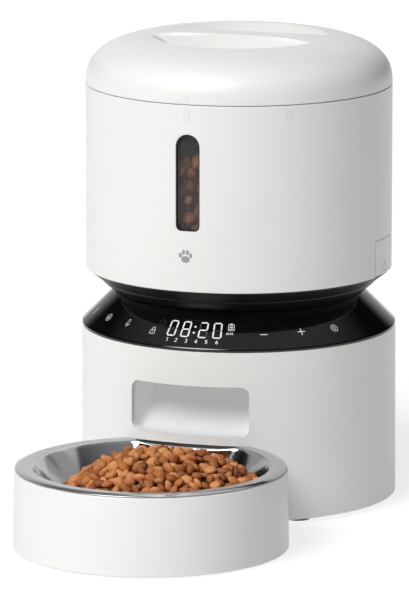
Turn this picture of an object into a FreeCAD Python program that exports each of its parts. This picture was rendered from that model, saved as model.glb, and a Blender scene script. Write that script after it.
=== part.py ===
import FreeCAD, Part
import math
import os

os.makedirs("parts", exist_ok=True)

# ---------------------------------------------------------------- driving dimensions (mm)
# Outer casings. Heights are stacked from the floor upwards.
base_radius = 87.5          # base casing under the control ring
base_draft = 0.4            # how much wider the casing is at its bottom edge
casing_wall = 2.6           # base casing wall
base_bottom = 2.6           # height of the casing's bottom edge over the floor
base_height = 94.5          # bottom edge to control ring
ring_lip = 1.6              # upright edge of the control ring
ring_rise = 17.8            # height of the ring's sloping face
ring_wall = 2.9             # thickness of the ring under its slope, measured upright
neck_radius = 69.5          # narrowest place, where ring and hopper meet
ring_sleeve_wall = 1.6      # inner sleeve of the ring
ring_sleeve_depth = 8.0
waist_gap = 0.6             # seam between ring and hopper
skirt_rise = 11.8           # height of the hopper's sloping underside
skirt_wall = 2.0
skirt_lip = 0.7             # dark edge under the hopper casing
skirt_inset = 1.2           # how far the skirt's edge stands in from the casing
skirt_collar_height = 6.4
hopper_radius = 85.2
hopper_wall = 2.2
hopper_height = 103.3
hopper_edge_bevel = 0.9     # bevel along the casing's bottom edge
lid_seam = 0.5
lid_rise = 26.9
lid_wall = 2.2
lid_roundness = 4.2         # exponents of the dome's rounded profile
lid_shoulder = 2.5

# Lid grip: a round hollow with a waisted bar across it
grip_radius = 47.0
grip_depth = 12.5
grip_bar_middle = 7.0       # half widths of the bar
grip_bar_end = 16.0
grip_drop = 1.4             # how far the hollow's edge lies below the top
grip_margin = 6.0           # how far the bar's outline runs past the hollow
lid_turn = 38.0             # degrees between locked and open
turn_mark_width = 2.1       # shallow marks that show where the lid locks
turn_mark_depth = 0.35
lid_mark_low = 0.6          # over the lid's edge
lid_mark_high = 4.8
casing_mark_low = 8.7       # below the casing's top edge
casing_mark_high = 3.0

# Food tank and portion wheel
tank_wall = 2.0
tank_radius = 80.0          # inside
tank_floor = 2.0
funnel_rise = 21.0
chamber_radius = 58.6       # inside of the round chamber for the portion wheel
tank_lip_height = 3.0
lip_drop = 0.5              # tank lip below the casing's top edge
wheel_vanes = 6
wheel_height = 19.5
wheel_vane_thickness = 3.0
wheel_tip_gap = 0.4         # vanes to the chamber wall
wheel_hub_radius = 14.0
wheel_stub_radius = 9.0
wheel_stub_length = 2.0     # stub under the deck's top face
stirrer_radius = 6.0
stirrer_height = 22.0
stirrer_reach = 42.0
stirrer_arm_radius = 3.0
stirrer_arm_heights = (8.0, 16.0)
stirrer_arm_lift = 6.0      # rise of an arm from stem to tip
stirrer_peg_length = 7.5
stirrer_peg_step = 2.0      # how much thinner the peg is than the stem
baffle_thickness = 2.0
baffle_half_angle = 36.0
baffle_inner_radius = 17.0
baffle_gap = 1.0            # over the wheel
baffle_rib_height = 8.0
wiper_thickness = 2.0
wiper_drop = 0.7            # how far the rubber hangs below the baffle
wiper_turn = 3.0            # degrees in from the baffle's edge

# Outlet and chute
outlet_half_width = 21.0
outlet_rear = 31.0          # distances in front of the base axis
outlet_front = 53.5
outlet_step = 1.0           # each opening is this much wider than the one above it
mouth_half_width = 34.2
mouth_low = 47.3            # over the casing's bottom edge
mouth_height = 28.0
mouth_corner = 4.5
mouth_floor = 9.0           # level floor behind the casing before the ramp rises
chute_wall = 2.0
sensor_drop = 9.0           # sensor below the mouth's top edge
sensor_distance = 66.0      # in front of the base axis
sensor_size = (5.0, 8.0, 6.0)

# Deck that carries the hopper
deck_drop = 6.9             # deck below the casing's top edge
deck_thickness = 2.2
collar_radius = 65.4        # inside
collar_wall = 2.4
collar_height = 24.3
deck_hole_radius = 12.0

# Release latches
latch_half_angle = 8.25
latch_height = 20.3
latch_groove = 0.5
latch_half_width = 6.0
latch_leg = 1.8
latch_arm = 2.7             # thickness of the arm between tongue and leg
latch_nose = 2.2
latch_nose_height = 3.0
latch_hook_depth = 8.0      # pocket for the hook below the top of the neck
latch_pivot_inset = 0.4     # pivot in from the casing's inner face
latch_pivot_drop = 1.2      # pivot below the tongue's top edge
latch_stub_radius = 0.7     # moulded stub axles
latch_stub_start = 8.0      # from the middle of the tongue
latch_stub_end = 15.0

# Window
window_half_width = 6.75
window_low = 33.8           # over the hopper's bottom edge
window_height = 53.2
window_corner = 3.0
window_recess = 0.3

# Base inside
floor_thickness = 2.2
floor_recess = 0.2
foot_radius = 7.0
foot_inset = 12.5           # foot centre in from the casing
post_radius = 4.0
post_inset = 8.6            # post centre in from the casing
post_web = 2.4
rear_posts = [90, -90, 158, -158]       # degrees from the front
front_posts = [22, -22]
foot_angles = [45, 135, 225, 315]
front_post_height = 20.0
screw_shank_radius = 1.5
screw_head_radius = 3.0
screw_head_height = 2.0
screw_length = 12.0
screw_cross_length = 3.6
screw_cross_width = 0.7
screw_cross_depth = 1.0

# Batteries
cell_radius = 17.0
cell_length = 61.0
cell_nub_radius = 4.75
cell_nub = 1.2
cell_pitch = 35.4
cell_centre_y = 5.0
cell_count = 3
holder_box_wall = 1.8
contact_thickness = 0.5
spring_height = 4.0
spring_wire_radius = 0.4
spring_base_radius = 5.5
spring_pitch = 1.1
spring_cone = -8.0          # degrees, narrower towards the cell
contact_half = 7.0
door_rim = 2.0              # door narrower than the cells on each side
door_gap = 0.4
door_inset = 0.2            # door faces in from the floor's faces
door_stub_radius = 0.6      # stub axles at the door's rear edge
door_stub_length = 1.8
finger_half_width = 9.0
finger_length = 6.0
finger_depth = 1.0

# Gear motor
gear_module = 0.8
output_teeth = 52
idler_large_teeth = 48
pinion_teeth = 16
pressure_angle = 20.0
gear_addendum = 0.9         # in modules
gear_dedendum = 1.2
gear_backlash = 0.07        # half of the play at the pitch circle, in modules
output_face = 6.0
idler_face = 4.0
pinion_overhang = 0.5       # pinions run this much past the wheels they drive
gear_gap = 2.0              # between the two pairs
gear_floor_gap = 2.5        # lowest gear over the gearbox floor
gear_side_gap = 0.5         # output gear to the gearbox wall
gearbox_wall = 2.0
gearbox_depth = 22.0
shaft_radius = 5.0
shaft_step = 1.0            # thinner below the output gear
pin_radius = 1.5
pin_cap = 0.6               # cover left above the idler's pin
motor_radius = 12.0
motor_length = 22.0
motor_shaft_radius = 1.6
motor_boss_radius = 3.2     # hole in the gearbox floor for the motor's boss
motor_bore_radius = 2.0
motor_bore_depth = 6.0
motor_terminal_x = 5.0
motor_terminal = (2.4, 0.6, 4.0)
key_flat = 8.0              # across flats of the driving hexagon
key_height = 6.0
key_play = 0.15

# Electronics
board_thickness = 1.2
board_gap = 0.2             # boards under the ring's slope
touch_board_start = 20.0    # degrees from the front, on both sides
touch_board_sweep = 56.0
touch_board_low = 72.5      # radii
touch_board_high = 84.0
display_half_angle = 19.0
display_thickness = 3.2
display_low = 71.5
display_high = 84.5
microphone_angle = -32.0
microphone_distance = 79.0
microphone_radius = 3.0
microphone_height = 4.4
main_board_box = (-62.0, -18.0, -20.0, 30.0)
main_board_lift = 5.0       # spacers between battery box and board
main_board_thickness = 1.6
spacer_inset = 5.0          # spacer centres in from the board's edges
spacer_radius = 3.2
spacer_bore = 1.5
speaker_y = -51.5
speaker_radius = 18.0
speaker_cone_radius = 15.4
speaker_neck_radius = 9.0
speaker_magnet_radius = 11.0
speaker_steps = (4.5, 6.0, 9.0, 14.0)       # heights of frame, plate, neck and magnet
speaker_hole_radius = 1.1
speaker_hole_pitch = 4.5
speaker_hole_rows = 3
inlet_radius = 5.5
inlet_bore = 2.85
inlet_pin_radius = 1.0
inlet_length = 12.0
inlet_depth = 9.0
inlet_z = 24.0
inlet_recess = 0.6
inlet_block = 6.0

# Bowl and its holder
holder_radius = 74.8        # at the floor
holder_top_radius = 73.9
holder_wall = 2.2
holder_bottom = 1.0
holder_height = 42.9
holder_edge_round = 0.8
pad_radius = 6.0
pad_inset = 16.0            # pad centre in from the holder's edge
pad_angles = [40, 140, 220, 320]
bowl_overlap = 18.4         # how far the holder's circle runs into the base's circle
nest_gap = 1.1              # between base and holder
tongue_half_width = 20.0
tongue_length = 16.0
tongue_thickness = 1.3
bowl_rim_radius = 73.4
bowl_mouth_radius = 64.0
bowl_floor_radius = 46.0
bowl_depth = 33.0
bowl_wall = 1.0
bowl_rim_height = 1.7
bowl_rim_gap = 0.6          # rim to the base's side of the holder
bowl_floor_round = 14.0

# Lid inside
plug_radius = 77.5
plug_wall = 2.0
plug_depth = 10.0
seal_height = 6.0
seal_lift = 2.0             # seal over the plug's lower edge
seal_groove = 0.9           # depth of the grooves between its ribs
liner_thickness = 1.8
liner_stem_radius = 2.5
liner_stem_length = 6.0
liner_stem_distance = 66.0
liner_stem_angles = [45, 135, 225, 315]
dry_box_radius = 30.0
dry_box_depth = 15.0
dry_box_wall = 1.5
dry_box_flange = 4.0
dry_pack_gap = 1.5
dry_pack_round = 3.0
dry_slot_pitch = 5.0
dry_slot_width = 2.2
dry_slot_count = 9
dry_slot_margin = 7.0

# Clearances
slip = 0.1                  # parts that stay together
loose = 0.3                 # parts that move past each other
running = 0.05              # shaft in its hole

# ---------------------------------------------------------------- heights that follow
shell_top = base_bottom + base_height
ring_top = shell_top + ring_lip + ring_rise
skirt_low = ring_top + waist_gap
hopper_low = skirt_low + skirt_rise + skirt_lip
hopper_top = hopper_low + hopper_height
lid_low = hopper_top + lid_seam
lid_top = lid_low + lid_rise
deck_top = shell_top - deck_drop
deck_low = deck_top - deck_thickness
tank_floor_top = deck_top + tank_floor
tank_top = hopper_top - lip_drop
funnel_low = skirt_low + skirt_wall + 1.0
funnel_high = funnel_low + funnel_rise
floor_low = base_bottom + floor_recess
floor_top = floor_low + floor_thickness
shell_inside = base_radius - casing_wall
hopper_inside = hopper_radius - hopper_wall
chamber_outside = chamber_radius + tank_wall
mouth_z = base_bottom + mouth_low
wheel_low = tank_floor_top + loose
wheel_top = wheel_low + wheel_height
baffle_low = wheel_top + baffle_gap
bowl_distance = base_radius + holder_radius - bowl_overlap
base_axis_y = (bowl_distance + holder_radius - base_radius - base_draft) / 2
nest_radius = base_radius + nest_gap
idler_y = gear_module * (output_teeth + pinion_teeth) / 2
pinion_y = idler_y + gear_module * (idler_large_teeth + pinion_teeth) / 2
ring_slope = ring_rise / (base_radius - neck_radius)
funnel_slope = funnel_rise / (tank_radius - chamber_radius)
latch_pivot_x = hopper_inside - latch_pivot_inset
latch_pivot_z = hopper_low + latch_height - latch_pivot_drop
post_distance = base_radius - post_inset
wheel_stub_low = deck_top - wheel_stub_length
battery_top = floor_top + 2 * loose + 2 * cell_radius + holder_box_wall
door_z = (floor_low + floor_top) / 2
door_round = floor_thickness / 2 - door_inset
chute_front = -base_radius - 2.0
chute_rear = 2 * outlet_step - outlet_rear
chute_top_half = outlet_half_width + 2 * outlet_step
reach = 4 * base_radius     # longer than anything that is cut
overcut = 1.0               # how far a cutter runs past the face it cuts


# ---------------------------------------------------------------- helpers
def vector(x, y, z):
    return FreeCAD.Vector(x, y, z)


def save(node, *solids):
    """Write one node, moved so that the origin is at the middle of the whole footprint."""
    shape = solids[0] if len(solids) == 1 else Part.makeCompound(list(solids))
    moved = shape.copy()
    moved.translate(vector(0, base_axis_y, 0))
    moved.exportStep("parts/%s.step" % node)


def revolve(outline, y=0.0, start=None, sweep=360.0):
    """Turn a closed outline of (radius, height) points about an upright axis."""
    points = [vector(r, 0, z) for r, z in outline]
    face = Part.Face(Part.makePolygon(points + points[:1]))
    solid = face.revolve(vector(0, 0, 0), vector(0, 0, 1), sweep)
    if start is not None:
        solid.rotate(vector(0, 0, 0), vector(0, 0, 1), start)
    solid.translate(vector(0, y, 0))
    return solid


def tube(inner, outer, low, high, y=0.0):
    return revolve([(inner, low), (outer, low), (outer, high), (inner, high)], y)


def rod(radius, low, high, x=0.0, y=0.0):
    return Part.makeCylinder(radius, high - low, vector(x, y, low))


def block(x0, x1, y0, y1, z0, z1):
    return Part.makeBox(x1 - x0, y1 - y0, z1 - z0, vector(x0, y0, z0))


def rod_along_x(radius, x0, x1, y, z):
    return Part.makeCylinder(radius, x1 - x0, vector(x0, y, z), vector(1, 0, 0))


def rod_along_y(radius, y0, y1, x, z):
    return Part.makeCylinder(radius, y1 - y0, vector(x, y0, z), vector(0, 1, 0))


def turned_about_z(solid, angle):
    solid.rotate(vector(0, 0, 0), vector(0, 0, 1), angle)
    return solid


def prism_y(outline, half_width):
    """Extrude a closed outline of (x, z) points along Y, evenly about the XZ plane."""
    points = [vector(x, -half_width, z) for x, z in outline]
    return Part.Face(Part.makePolygon(points + points[:1])).extrude(vector(0, 2 * half_width, 0))


def around(angle, radius):
    """Place at an angle from the front (-Y), positive towards +X."""
    a = math.radians(angle)
    return radius * math.sin(a), -radius * math.cos(a)


def round_edges(solid, radius, chosen):
    """Round the edges for which chosen(edge centre) is true."""
    edges = [e for e in solid.Edges if chosen(e.CenterOfMass)]
    return solid.makeFillet(radius, edges)


def upright_panel(half_width, low, high, corner, y0, y1):
    """A block with rounded corners, pushed along Y, as a cutter for openings in a wall."""
    panel = block(-half_width, half_width, y0, y1, low, high)
    return round_edges(panel, corner, lambda c: abs(c.y - (y0 + y1) / 2) < 0.01)


def tapped_posts(angles, radius, low, high):
    """Screw posts that stand beside the casing wall."""
    posts = []
    for angle in angles:
        x, y = around(angle, radius)
        posts.append(rod(post_radius, low, high, x, y))
    return posts


def screw(x, y, head_z, upwards):
    """Pan-head screw with a cross recess. Its head is at head_z and its shank points away."""
    head = rod(screw_head_radius, 0, screw_head_height)
    head = round_edges(head, 0.8, lambda c: c.z < 0.01)
    shank = rod(screw_shank_radius, screw_head_height, screw_head_height + screw_length)
    body = head.fuse(shank).removeSplitter()
    arm = screw_cross_length / 2
    side = screw_cross_width / 2
    for half_x, half_y in ((arm, side), (side, arm)):
        body = body.cut(block(-half_x, half_x, -half_y, half_y, -overcut, screw_cross_depth))
    if not upwards:
        body.rotate(vector(0, 0, 0), vector(1, 0, 0), 180)
    body.translate(vector(x, y, head_z))
    return body


# ---------------------------------------------------------------- lid
def dome(radius, low, high):
    """Solid of the dome: (r / radius)^roundness + (height / rise)^shoulder = 1, turned about Z."""
    points = []
    steps = 18
    for i in range(steps + 1):
        t = math.pi / 2 * i / steps
        r = radius * math.sin(t) ** (2 / lid_roundness)
        z = low + (high - low) * math.cos(t) ** (2 / lid_shoulder)
        points.append(vector(r, 0, z if i < steps else low))
    curve = Part.BSplineCurve()
    curve.interpolate(points, InitialTangent=vector(1, 0, 0), FinalTangent=vector(0, 0, -1))
    centre = vector(0, 0, low)
    wire = Part.Wire([curve.toShape(), Part.makeLine(points[-1], centre), Part.makeLine(centre, points[0])])
    return Part.Face(wire).revolve(vector(0, 0, 0), vector(0, 0, 1), 360)


def grip_bar(inset):
    """Waisted bar across the lid, its sides two arcs that come closest in the middle."""
    end = grip_radius + grip_margin
    sides = []
    for side in (1, -1):
        ends = side * (grip_bar_end - inset)
        middle = side * (grip_bar_middle - inset)
        sides.append(Part.Arc(vector(-end, ends, 0), vector(0, middle, 0), vector(end, ends, 0)).toShape())
    closing = []
    for x in (-end, end):
        closing.append(Part.makeLine(vector(x, grip_bar_end - inset, 0), vector(x, inset - grip_bar_end, 0)))
    wire = Part.Wire(Part.sortEdges(sides + closing)[0])
    bar = Part.Face(wire).extrude(vector(0, 0, 2 * lid_rise))
    bar.translate(vector(0, 0, lid_low))
    return bar


def grip_hollow(offset):
    """Ball-shaped hollow with the bar left standing, grown by offset for the wall's inner side."""
    rim_z = lid_top - grip_drop
    ball = (grip_radius ** 2 + grip_depth ** 2) / (2 * grip_depth)
    sphere = Part.makeSphere(ball + offset, vector(0, 0, rim_z + ball - grip_depth))
    return sphere.cut(grip_bar(offset))


def turn_mark(angle, radius, low, high):
    """Shallow upright capsule cut into a round wall."""
    half = turn_mark_width / 2
    front = -radius - overcut
    back = -radius + turn_mark_depth
    mark = block(-half, half, front, back, low, high)
    mark = round_edges(mark, half - 0.05, lambda c: abs(c.y - (front + back) / 2) < 0.01)
    return turned_about_z(mark, angle)


def lid():
    outside = dome(hopper_radius, lid_low, lid_top).cut(grip_hollow(0))
    inside = dome(hopper_radius - lid_wall, lid_low, lid_top - lid_wall).cut(grip_hollow(lid_wall))
    shell = outside.cut(inside)
    shell = shell.cut(turn_mark(0, hopper_radius, lid_low + lid_mark_low, lid_low + lid_mark_high))
    save("lid_dome", shell)
    save("lid_liner", lid_liner())
    save("lid_seal", lid_seal())
    desiccant_box()


def lid_liner():
    """Disc inside the dome with an upright rim that plugs the tank's mouth."""

    plug_low = tank_top - plug_depth
    flange_radius = hopper_inside - 2 * slip
    top = tank_top + liner_thickness
    liner = revolve([(0, tank_top), (plug_radius - plug_wall, tank_top), (plug_radius - plug_wall, plug_low),
                     (plug_radius, plug_low), (plug_radius, tank_top), (flange_radius, tank_top),
                     (flange_radius, top), (0, top)])
    stems = []
    for angle in liner_stem_angles:
        x, y = around(angle, liner_stem_distance)
        stems.append(rod(liner_stem_radius, top, top + liner_stem_length, x, y))
    return liner.multiFuse(stems).removeSplitter()


def lid_seal():
    """Silicone ring round the plug with two ribs, the upper one at mid height."""
    low = tank_top - plug_depth + seal_lift
    inner = plug_radius + loose
    outer = tank_radius - loose
    groove = outer - seal_groove
    return revolve([(inner, low), (groove, low), (outer, low + 0.2 * seal_height), (groove, low + 0.43 * seal_height),
                    (outer, low + 0.63 * seal_height), (groove, low + seal_height), (inner, low + seal_height)])


def desiccant_box():
    """Round box under the liner, its pouch and the slotted cover that pulls off downwards."""
    low = tank_top - dry_box_depth
    inner = dry_box_radius - dry_box_wall
    tray = tube(inner, dry_box_radius, low, tank_top)
    flange = tube(dry_box_radius, dry_box_radius + dry_box_flange, tank_top - dry_box_wall, tank_top)
    save("desiccant_tray", tray.fuse(flange).removeSplitter())
    pack = rod(inner - dry_pack_gap, low + dry_box_wall + loose, tank_top - dry_pack_gap)
    save("desiccant_pack", round_edges(pack, dry_pack_round, lambda c: True))
    cover = rod(inner - loose, low - dry_box_wall, low + dry_box_wall)
    cover = cover.fuse(tube(inner - dry_box_wall, dry_box_radius, low - dry_box_wall, low - loose)).removeSplitter()
    slots = []
    for i in range(dry_slot_count):
        y = dry_slot_pitch * (i - (dry_slot_count - 1) / 2)
        half = math.sqrt((inner - dry_slot_margin) ** 2 - y ** 2)
        slots.append(block(-half, half, y - dry_slot_width / 2, y + dry_slot_width / 2,
                           low - 2 * dry_box_wall, low + 2 * dry_box_wall))
    save("desiccant_cover", cover.cut(Part.makeCompound(slots)))


# ---------------------------------------------------------------- hopper
def window_plug(clear, r_in, r_out):
    """Upright window shape, round at the top, between two radii of the hopper."""
    low = hopper_low + window_low - clear
    high = hopper_low + window_low + window_height + clear
    half = window_half_width + clear
    slab = block(-half, half, -r_out - 5, -r_in + 5, low, high - half)
    slab = round_edges(slab, window_corner, lambda c: abs(c.z - low) < 0.01 and abs(abs(c.x) - half) < 0.01)
    arch = Part.makeCylinder(half, r_out - r_in + 10, vector(0, -r_out - 5, high - half), vector(0, 1, 0))
    plug = slab.fuse(arch).removeSplitter()
    return plug.common(tube(r_in, r_out, low - 5, high + 5))


def latch_gap(clear):
    """Opening in the hopper casing that a latch tongue fills, on the +X side."""
    half = latch_half_angle + math.degrees(clear / hopper_radius)
    top = hopper_low + latch_height + (slip if clear else 0)
    low = hopper_low - 5 if clear else hopper_low + latch_groove
    r_in = hopper_inside - (1 if clear else 0)
    r_out = hopper_radius + (1 if clear else 0)
    return revolve([(r_in, low), (r_out, low), (r_out, top), (r_in, top)], start=-half, sweep=2 * half)


def both_sides(shape):
    other = shape.copy()
    other.rotate(vector(0, 0, 0), vector(0, 0, 1), 180)
    return shape, other


def latch_stubs(radius, clear):
    """Stub axles on both sides of the +X tongue, or their holes in the casing."""
    stubs = []
    for side in (-1, 1):
        near = side * latch_stub_start
        far = side * (latch_stub_end + clear)
        stubs.append(rod_along_y(radius, min(near, far), max(near, far), latch_pivot_x, latch_pivot_z))
    return stubs


def latch():
    """Tongue, stub axles, arm, leg and hook of the +X latch."""
    leg_out = collar_radius - 0.4
    leg_in = leg_out - latch_leg
    hook_low = ring_top - latch_hook_depth + 0.5
    hook_high = hook_low + latch_nose_height
    bend = skirt_low + 0.9
    arm_x = tank_radius + 0.5
    arm_high = bend + (arm_x - leg_in) * funnel_slope
    arm_low = arm_high - latch_arm
    tongue_x = hopper_inside + 0.8
    leg = prism_y([(leg_in, hook_low), (leg_out, hook_low), (leg_out + latch_nose, hook_low + latch_nose_height / 2),
                   (leg_out + latch_nose, hook_high), (leg_out, hook_high), (leg_out, bend - 1), (arm_x, arm_low),
                   (tongue_x, arm_low), (tongue_x, arm_high), (arm_x, arm_high), (leg_in, bend)], latch_half_width)
    return latch_gap(0).multiFuse([leg] + latch_stubs(latch_stub_radius, 0)).removeSplitter()


def food_tank():
    """Upright wall of the tank, with the window's opening and a lip that fits in the casing."""
    lip_low = tank_top - tank_lip_height
    tank = revolve([(tank_radius, funnel_high), (tank_radius + tank_wall, funnel_high),
                    (tank_radius + tank_wall, lip_low), (hopper_inside - slip, lip_low + 1),
                    (hopper_inside - slip, tank_top), (tank_radius, tank_top)])
    return tank.cut(window_plug(slip, tank_radius - 2, hopper_radius))


def tank_funnel():
    """Cone that the tank's wall stands on and that leads the food into the feed chamber."""
    return revolve([(chamber_radius, funnel_low), (chamber_outside, funnel_low),
                    (tank_radius + tank_wall, funnel_high), (tank_radius, funnel_high)])


def feed_chamber():
    """Drum round the portion wheel: a wall, a floor with the outlet and the wheel's bearing."""
    chamber = revolve([(wheel_stub_radius + running, deck_top), (chamber_outside, deck_top),
                       (chamber_outside, funnel_low), (chamber_radius, funnel_low),
                       (chamber_radius, tank_floor_top), (wheel_stub_radius + running, tank_floor_top)])
    outlet = block(-outlet_half_width, outlet_half_width, -outlet_front, -outlet_rear,
                   deck_top - overcut, tank_floor_top + overcut)
    return chamber.cut(outlet)


def hopper_skirt():
    edge = hopper_radius - skirt_inset
    collar_out = hopper_inside - slip
    collar_in = collar_out - skirt_wall
    lip_low = hopper_low - skirt_lip
    bottom_in = chamber_outside + 0.4
    flange_top = skirt_low + skirt_wall - 0.2
    top = hopper_low + skirt_collar_height
    skirt = revolve([(collar_in, top), (collar_out, top), (collar_out, hopper_low), (edge, hopper_low),
                     (edge, lip_low), (neck_radius + 0.5, skirt_low), (bottom_in, skirt_low),
                     (bottom_in, flange_top), (neck_radius - 0.2, flange_top), (collar_in, lip_low + 0.3)])
    behind_tongue = block(collar_in - 2, collar_out + 0.05, -13.6, 13.6, hopper_low + slip, top + 1)
    leg_slot = block(bottom_in - 1, collar_radius + latch_nose + 0.4, -latch_half_width - 2, latch_half_width + 2,
                     skirt_low - 1, flange_top + 1)
    for cutter in both_sides(behind_tongue) + both_sides(leg_slot):
        skirt = skirt.cut(cutter)
    return skirt


def portion_wheel():
    """Hub, vanes and a driving socket. Two vanes stand either side of the outlet."""
    radius = chamber_radius - wheel_tip_gap
    wheel = rod(wheel_hub_radius, wheel_low, wheel_top)
    wheel = wheel.fuse(rod(wheel_stub_radius, wheel_stub_low, wheel_low + overcut))
    vanes = []
    for i in range(wheel_vanes):
        angle = 360 / wheel_vanes * (i + 0.5) - 90
        vane = block(wheel_hub_radius - 2, radius, -wheel_vane_thickness / 2, wheel_vane_thickness / 2,
                     wheel_low, wheel_top)
        vanes.append(turned_about_z(vane, angle))
    wheel = wheel.multiFuse(vanes).removeSplitter()
    peg_hole = rod(stirrer_radius - stirrer_peg_step + slip, wheel_top - stirrer_peg_length - loose,
                   wheel_top + overcut)
    socket = hexagon(key_flat + 2 * key_play, wheel_stub_low - overcut, wheel_stub_low + key_height + loose)
    return wheel.cut(peg_hole).cut(socket)


def stirrer():
    """Silicone stirrer on the wheel: a stem with two bowed arms at different heights."""
    stem = rod(stirrer_radius, wheel_top, wheel_top + stirrer_height)
    stem = round_edges(stem, 2.5, lambda c: c.z > wheel_top + 1)
    peg = rod(stirrer_radius - stirrer_peg_step, wheel_top - stirrer_peg_length, wheel_top + overcut)
    body = stem.fuse(peg)
    for i, height in enumerate(stirrer_arm_heights):
        z = wheel_top + height
        end = vector(stirrer_reach, 0, z + stirrer_arm_lift)
        middle = vector(stirrer_reach * 0.55, 0, z + stirrer_arm_lift / 4)
        path = Part.Arc(vector(0, 0, z), middle, end).toShape()
        tangent = path.tangentAt(path.FirstParameter)
        start = Part.Wire(Part.Circle(vector(0, 0, z), tangent, stirrer_arm_radius).toShape())
        arm = Part.Wire(path).makePipeShell([start], True, False)
        arm = arm.fuse(Part.makeSphere(stirrer_arm_radius, end))
        body = body.fuse(turned_about_z(arm, 20 + 360 / len(stirrer_arm_heights) * i))
    return body.removeSplitter()


def feed_baffle():
    """Plate over the outlet, so that only what a wheel pocket holds can drop."""
    outer = chamber_radius - 2 * slip
    rib_inner = outer - baffle_thickness
    plate_top = baffle_low + baffle_thickness
    rib_top = baffle_low + baffle_rib_height
    return revolve([(baffle_inner_radius, baffle_low), (outer, baffle_low), (outer, rib_top), (rib_inner, rib_top),
                    (rib_inner, plate_top), (baffle_inner_radius, plate_top)],
                   start=-90 - baffle_half_angle, sweep=2 * baffle_half_angle)


def baffle_wipers():
    """Rubber strips along both edges of the baffle, just over the wheel."""
    strips = []
    half = wiper_thickness / 2
    for side in (-1, 1):
        strip = block(-half, half, -chamber_radius + 2 * wiper_thickness, -baffle_inner_radius - wiper_thickness,
                      baffle_low - wiper_drop, baffle_low)
        strips.append(turned_about_z(strip, side * (baffle_half_angle - wiper_turn)))
    return strips


def hopper():
    bevel_start = hopper_radius - hopper_edge_bevel
    casing = revolve([(hopper_inside, hopper_low), (bevel_start, hopper_low),
                      (hopper_radius, hopper_low + hopper_edge_bevel), (hopper_radius, hopper_top),
                      (hopper_inside, hopper_top)])
    casing = casing.cut(window_plug(slip, hopper_inside - 1, hopper_radius + 1))
    gap = latch_gap(latch_groove).multiFuse(latch_stubs(latch_stub_radius + running, slip))
    for cutter in both_sides(gap):
        casing = casing.cut(cutter)
    for angle in (0, lid_turn):
        mark = turn_mark(angle, hopper_radius, hopper_top - casing_mark_low, hopper_top - casing_mark_high)
        casing = casing.cut(mark)
    save("hopper_casing", casing)
    save("food_tank", food_tank())
    save("tank_funnel", tank_funnel())
    save("feed_chamber", feed_chamber())
    save("hopper_window", window_plug(0, tank_radius + 0.4, hopper_radius - window_recess))
    save("hopper_skirt", hopper_skirt())
    right, left = both_sides(latch())
    save("latch_right", right)
    save("latch_left", left)
    save("portion_wheel", portion_wheel())
    save("stirrer", stirrer())
    save("feed_baffle", feed_baffle())
    save("baffle_wipers", *baffle_wipers())


# ---------------------------------------------------------------- gear motor
def involute(angle):
    return math.tan(angle) - angle


def gear(teeth, low, high, y, tooth_angle):
    """Spur gear with involute flanks. One tooth is centred at tooth_angle."""
    pressure = math.radians(pressure_angle)
    pitch = gear_module * teeth / 2
    base = pitch * math.cos(pressure)
    root = pitch - gear_dedendum * gear_module
    tip = pitch + gear_addendum * gear_module
    half_at_pitch = math.pi / (2 * teeth) - gear_backlash * gear_module / pitch

    def half(radius):
        turn = math.acos(min(1.0, base / radius))
        return half_at_pitch + involute(pressure) - involute(turn)

    flank = max(base, root + 0.05)
    edges = []

    def at(radius, angle):
        return vector(radius * math.cos(angle), radius * math.sin(angle), low)

    for i in range(teeth):
        centre = math.radians(tooth_angle) + 2 * math.pi * i / teeth
        following = centre + 2 * math.pi / teeth
        middle = (flank + tip) / 2
        start = half(flank)
        edges.append(Part.makeLine(at(root, centre - start), at(flank, centre - start)))
        edges.append(Part.Arc(at(flank, centre - start), at(middle, centre - half(middle)),
                              at(tip, centre - half(tip))).toShape())
        edges.append(Part.Arc(at(tip, centre - half(tip)), at(tip, centre), at(tip, centre + half(tip))).toShape())
        edges.append(Part.Arc(at(tip, centre + half(tip)), at(middle, centre + half(middle)),
                              at(flank, centre + start)).toShape())
        edges.append(Part.makeLine(at(flank, centre + start), at(root, centre + start)))
        edges.append(Part.Arc(at(root, centre + start), at(root, (centre + following) / 2),
                              at(root, following - start)).toShape())
    solid = Part.Face(Part.Wire(edges)).extrude(vector(0, 0, high - low))
    solid.translate(vector(0, y, 0))
    return solid


def hexagon(flats, low, high):
    corner = flats / math.sqrt(3)
    points = []
    for i in range(7):
        a = math.radians(60 * i)
        points.append(vector(corner * math.cos(a), corner * math.sin(a), low))
    return Part.Face(Part.makePolygon(points)).extrude(vector(0, 0, high - low))


def stadium(half_width, y0, y1, low, high):
    """Block with round ends, from y0 to y1 between the centres of its ends."""
    body = block(-half_width, half_width, y0, y1, low, high)
    for y in (y0, y1):
        body = body.fuse(rod(half_width, low, high, 0, y))
    return body.removeSplitter()


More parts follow.
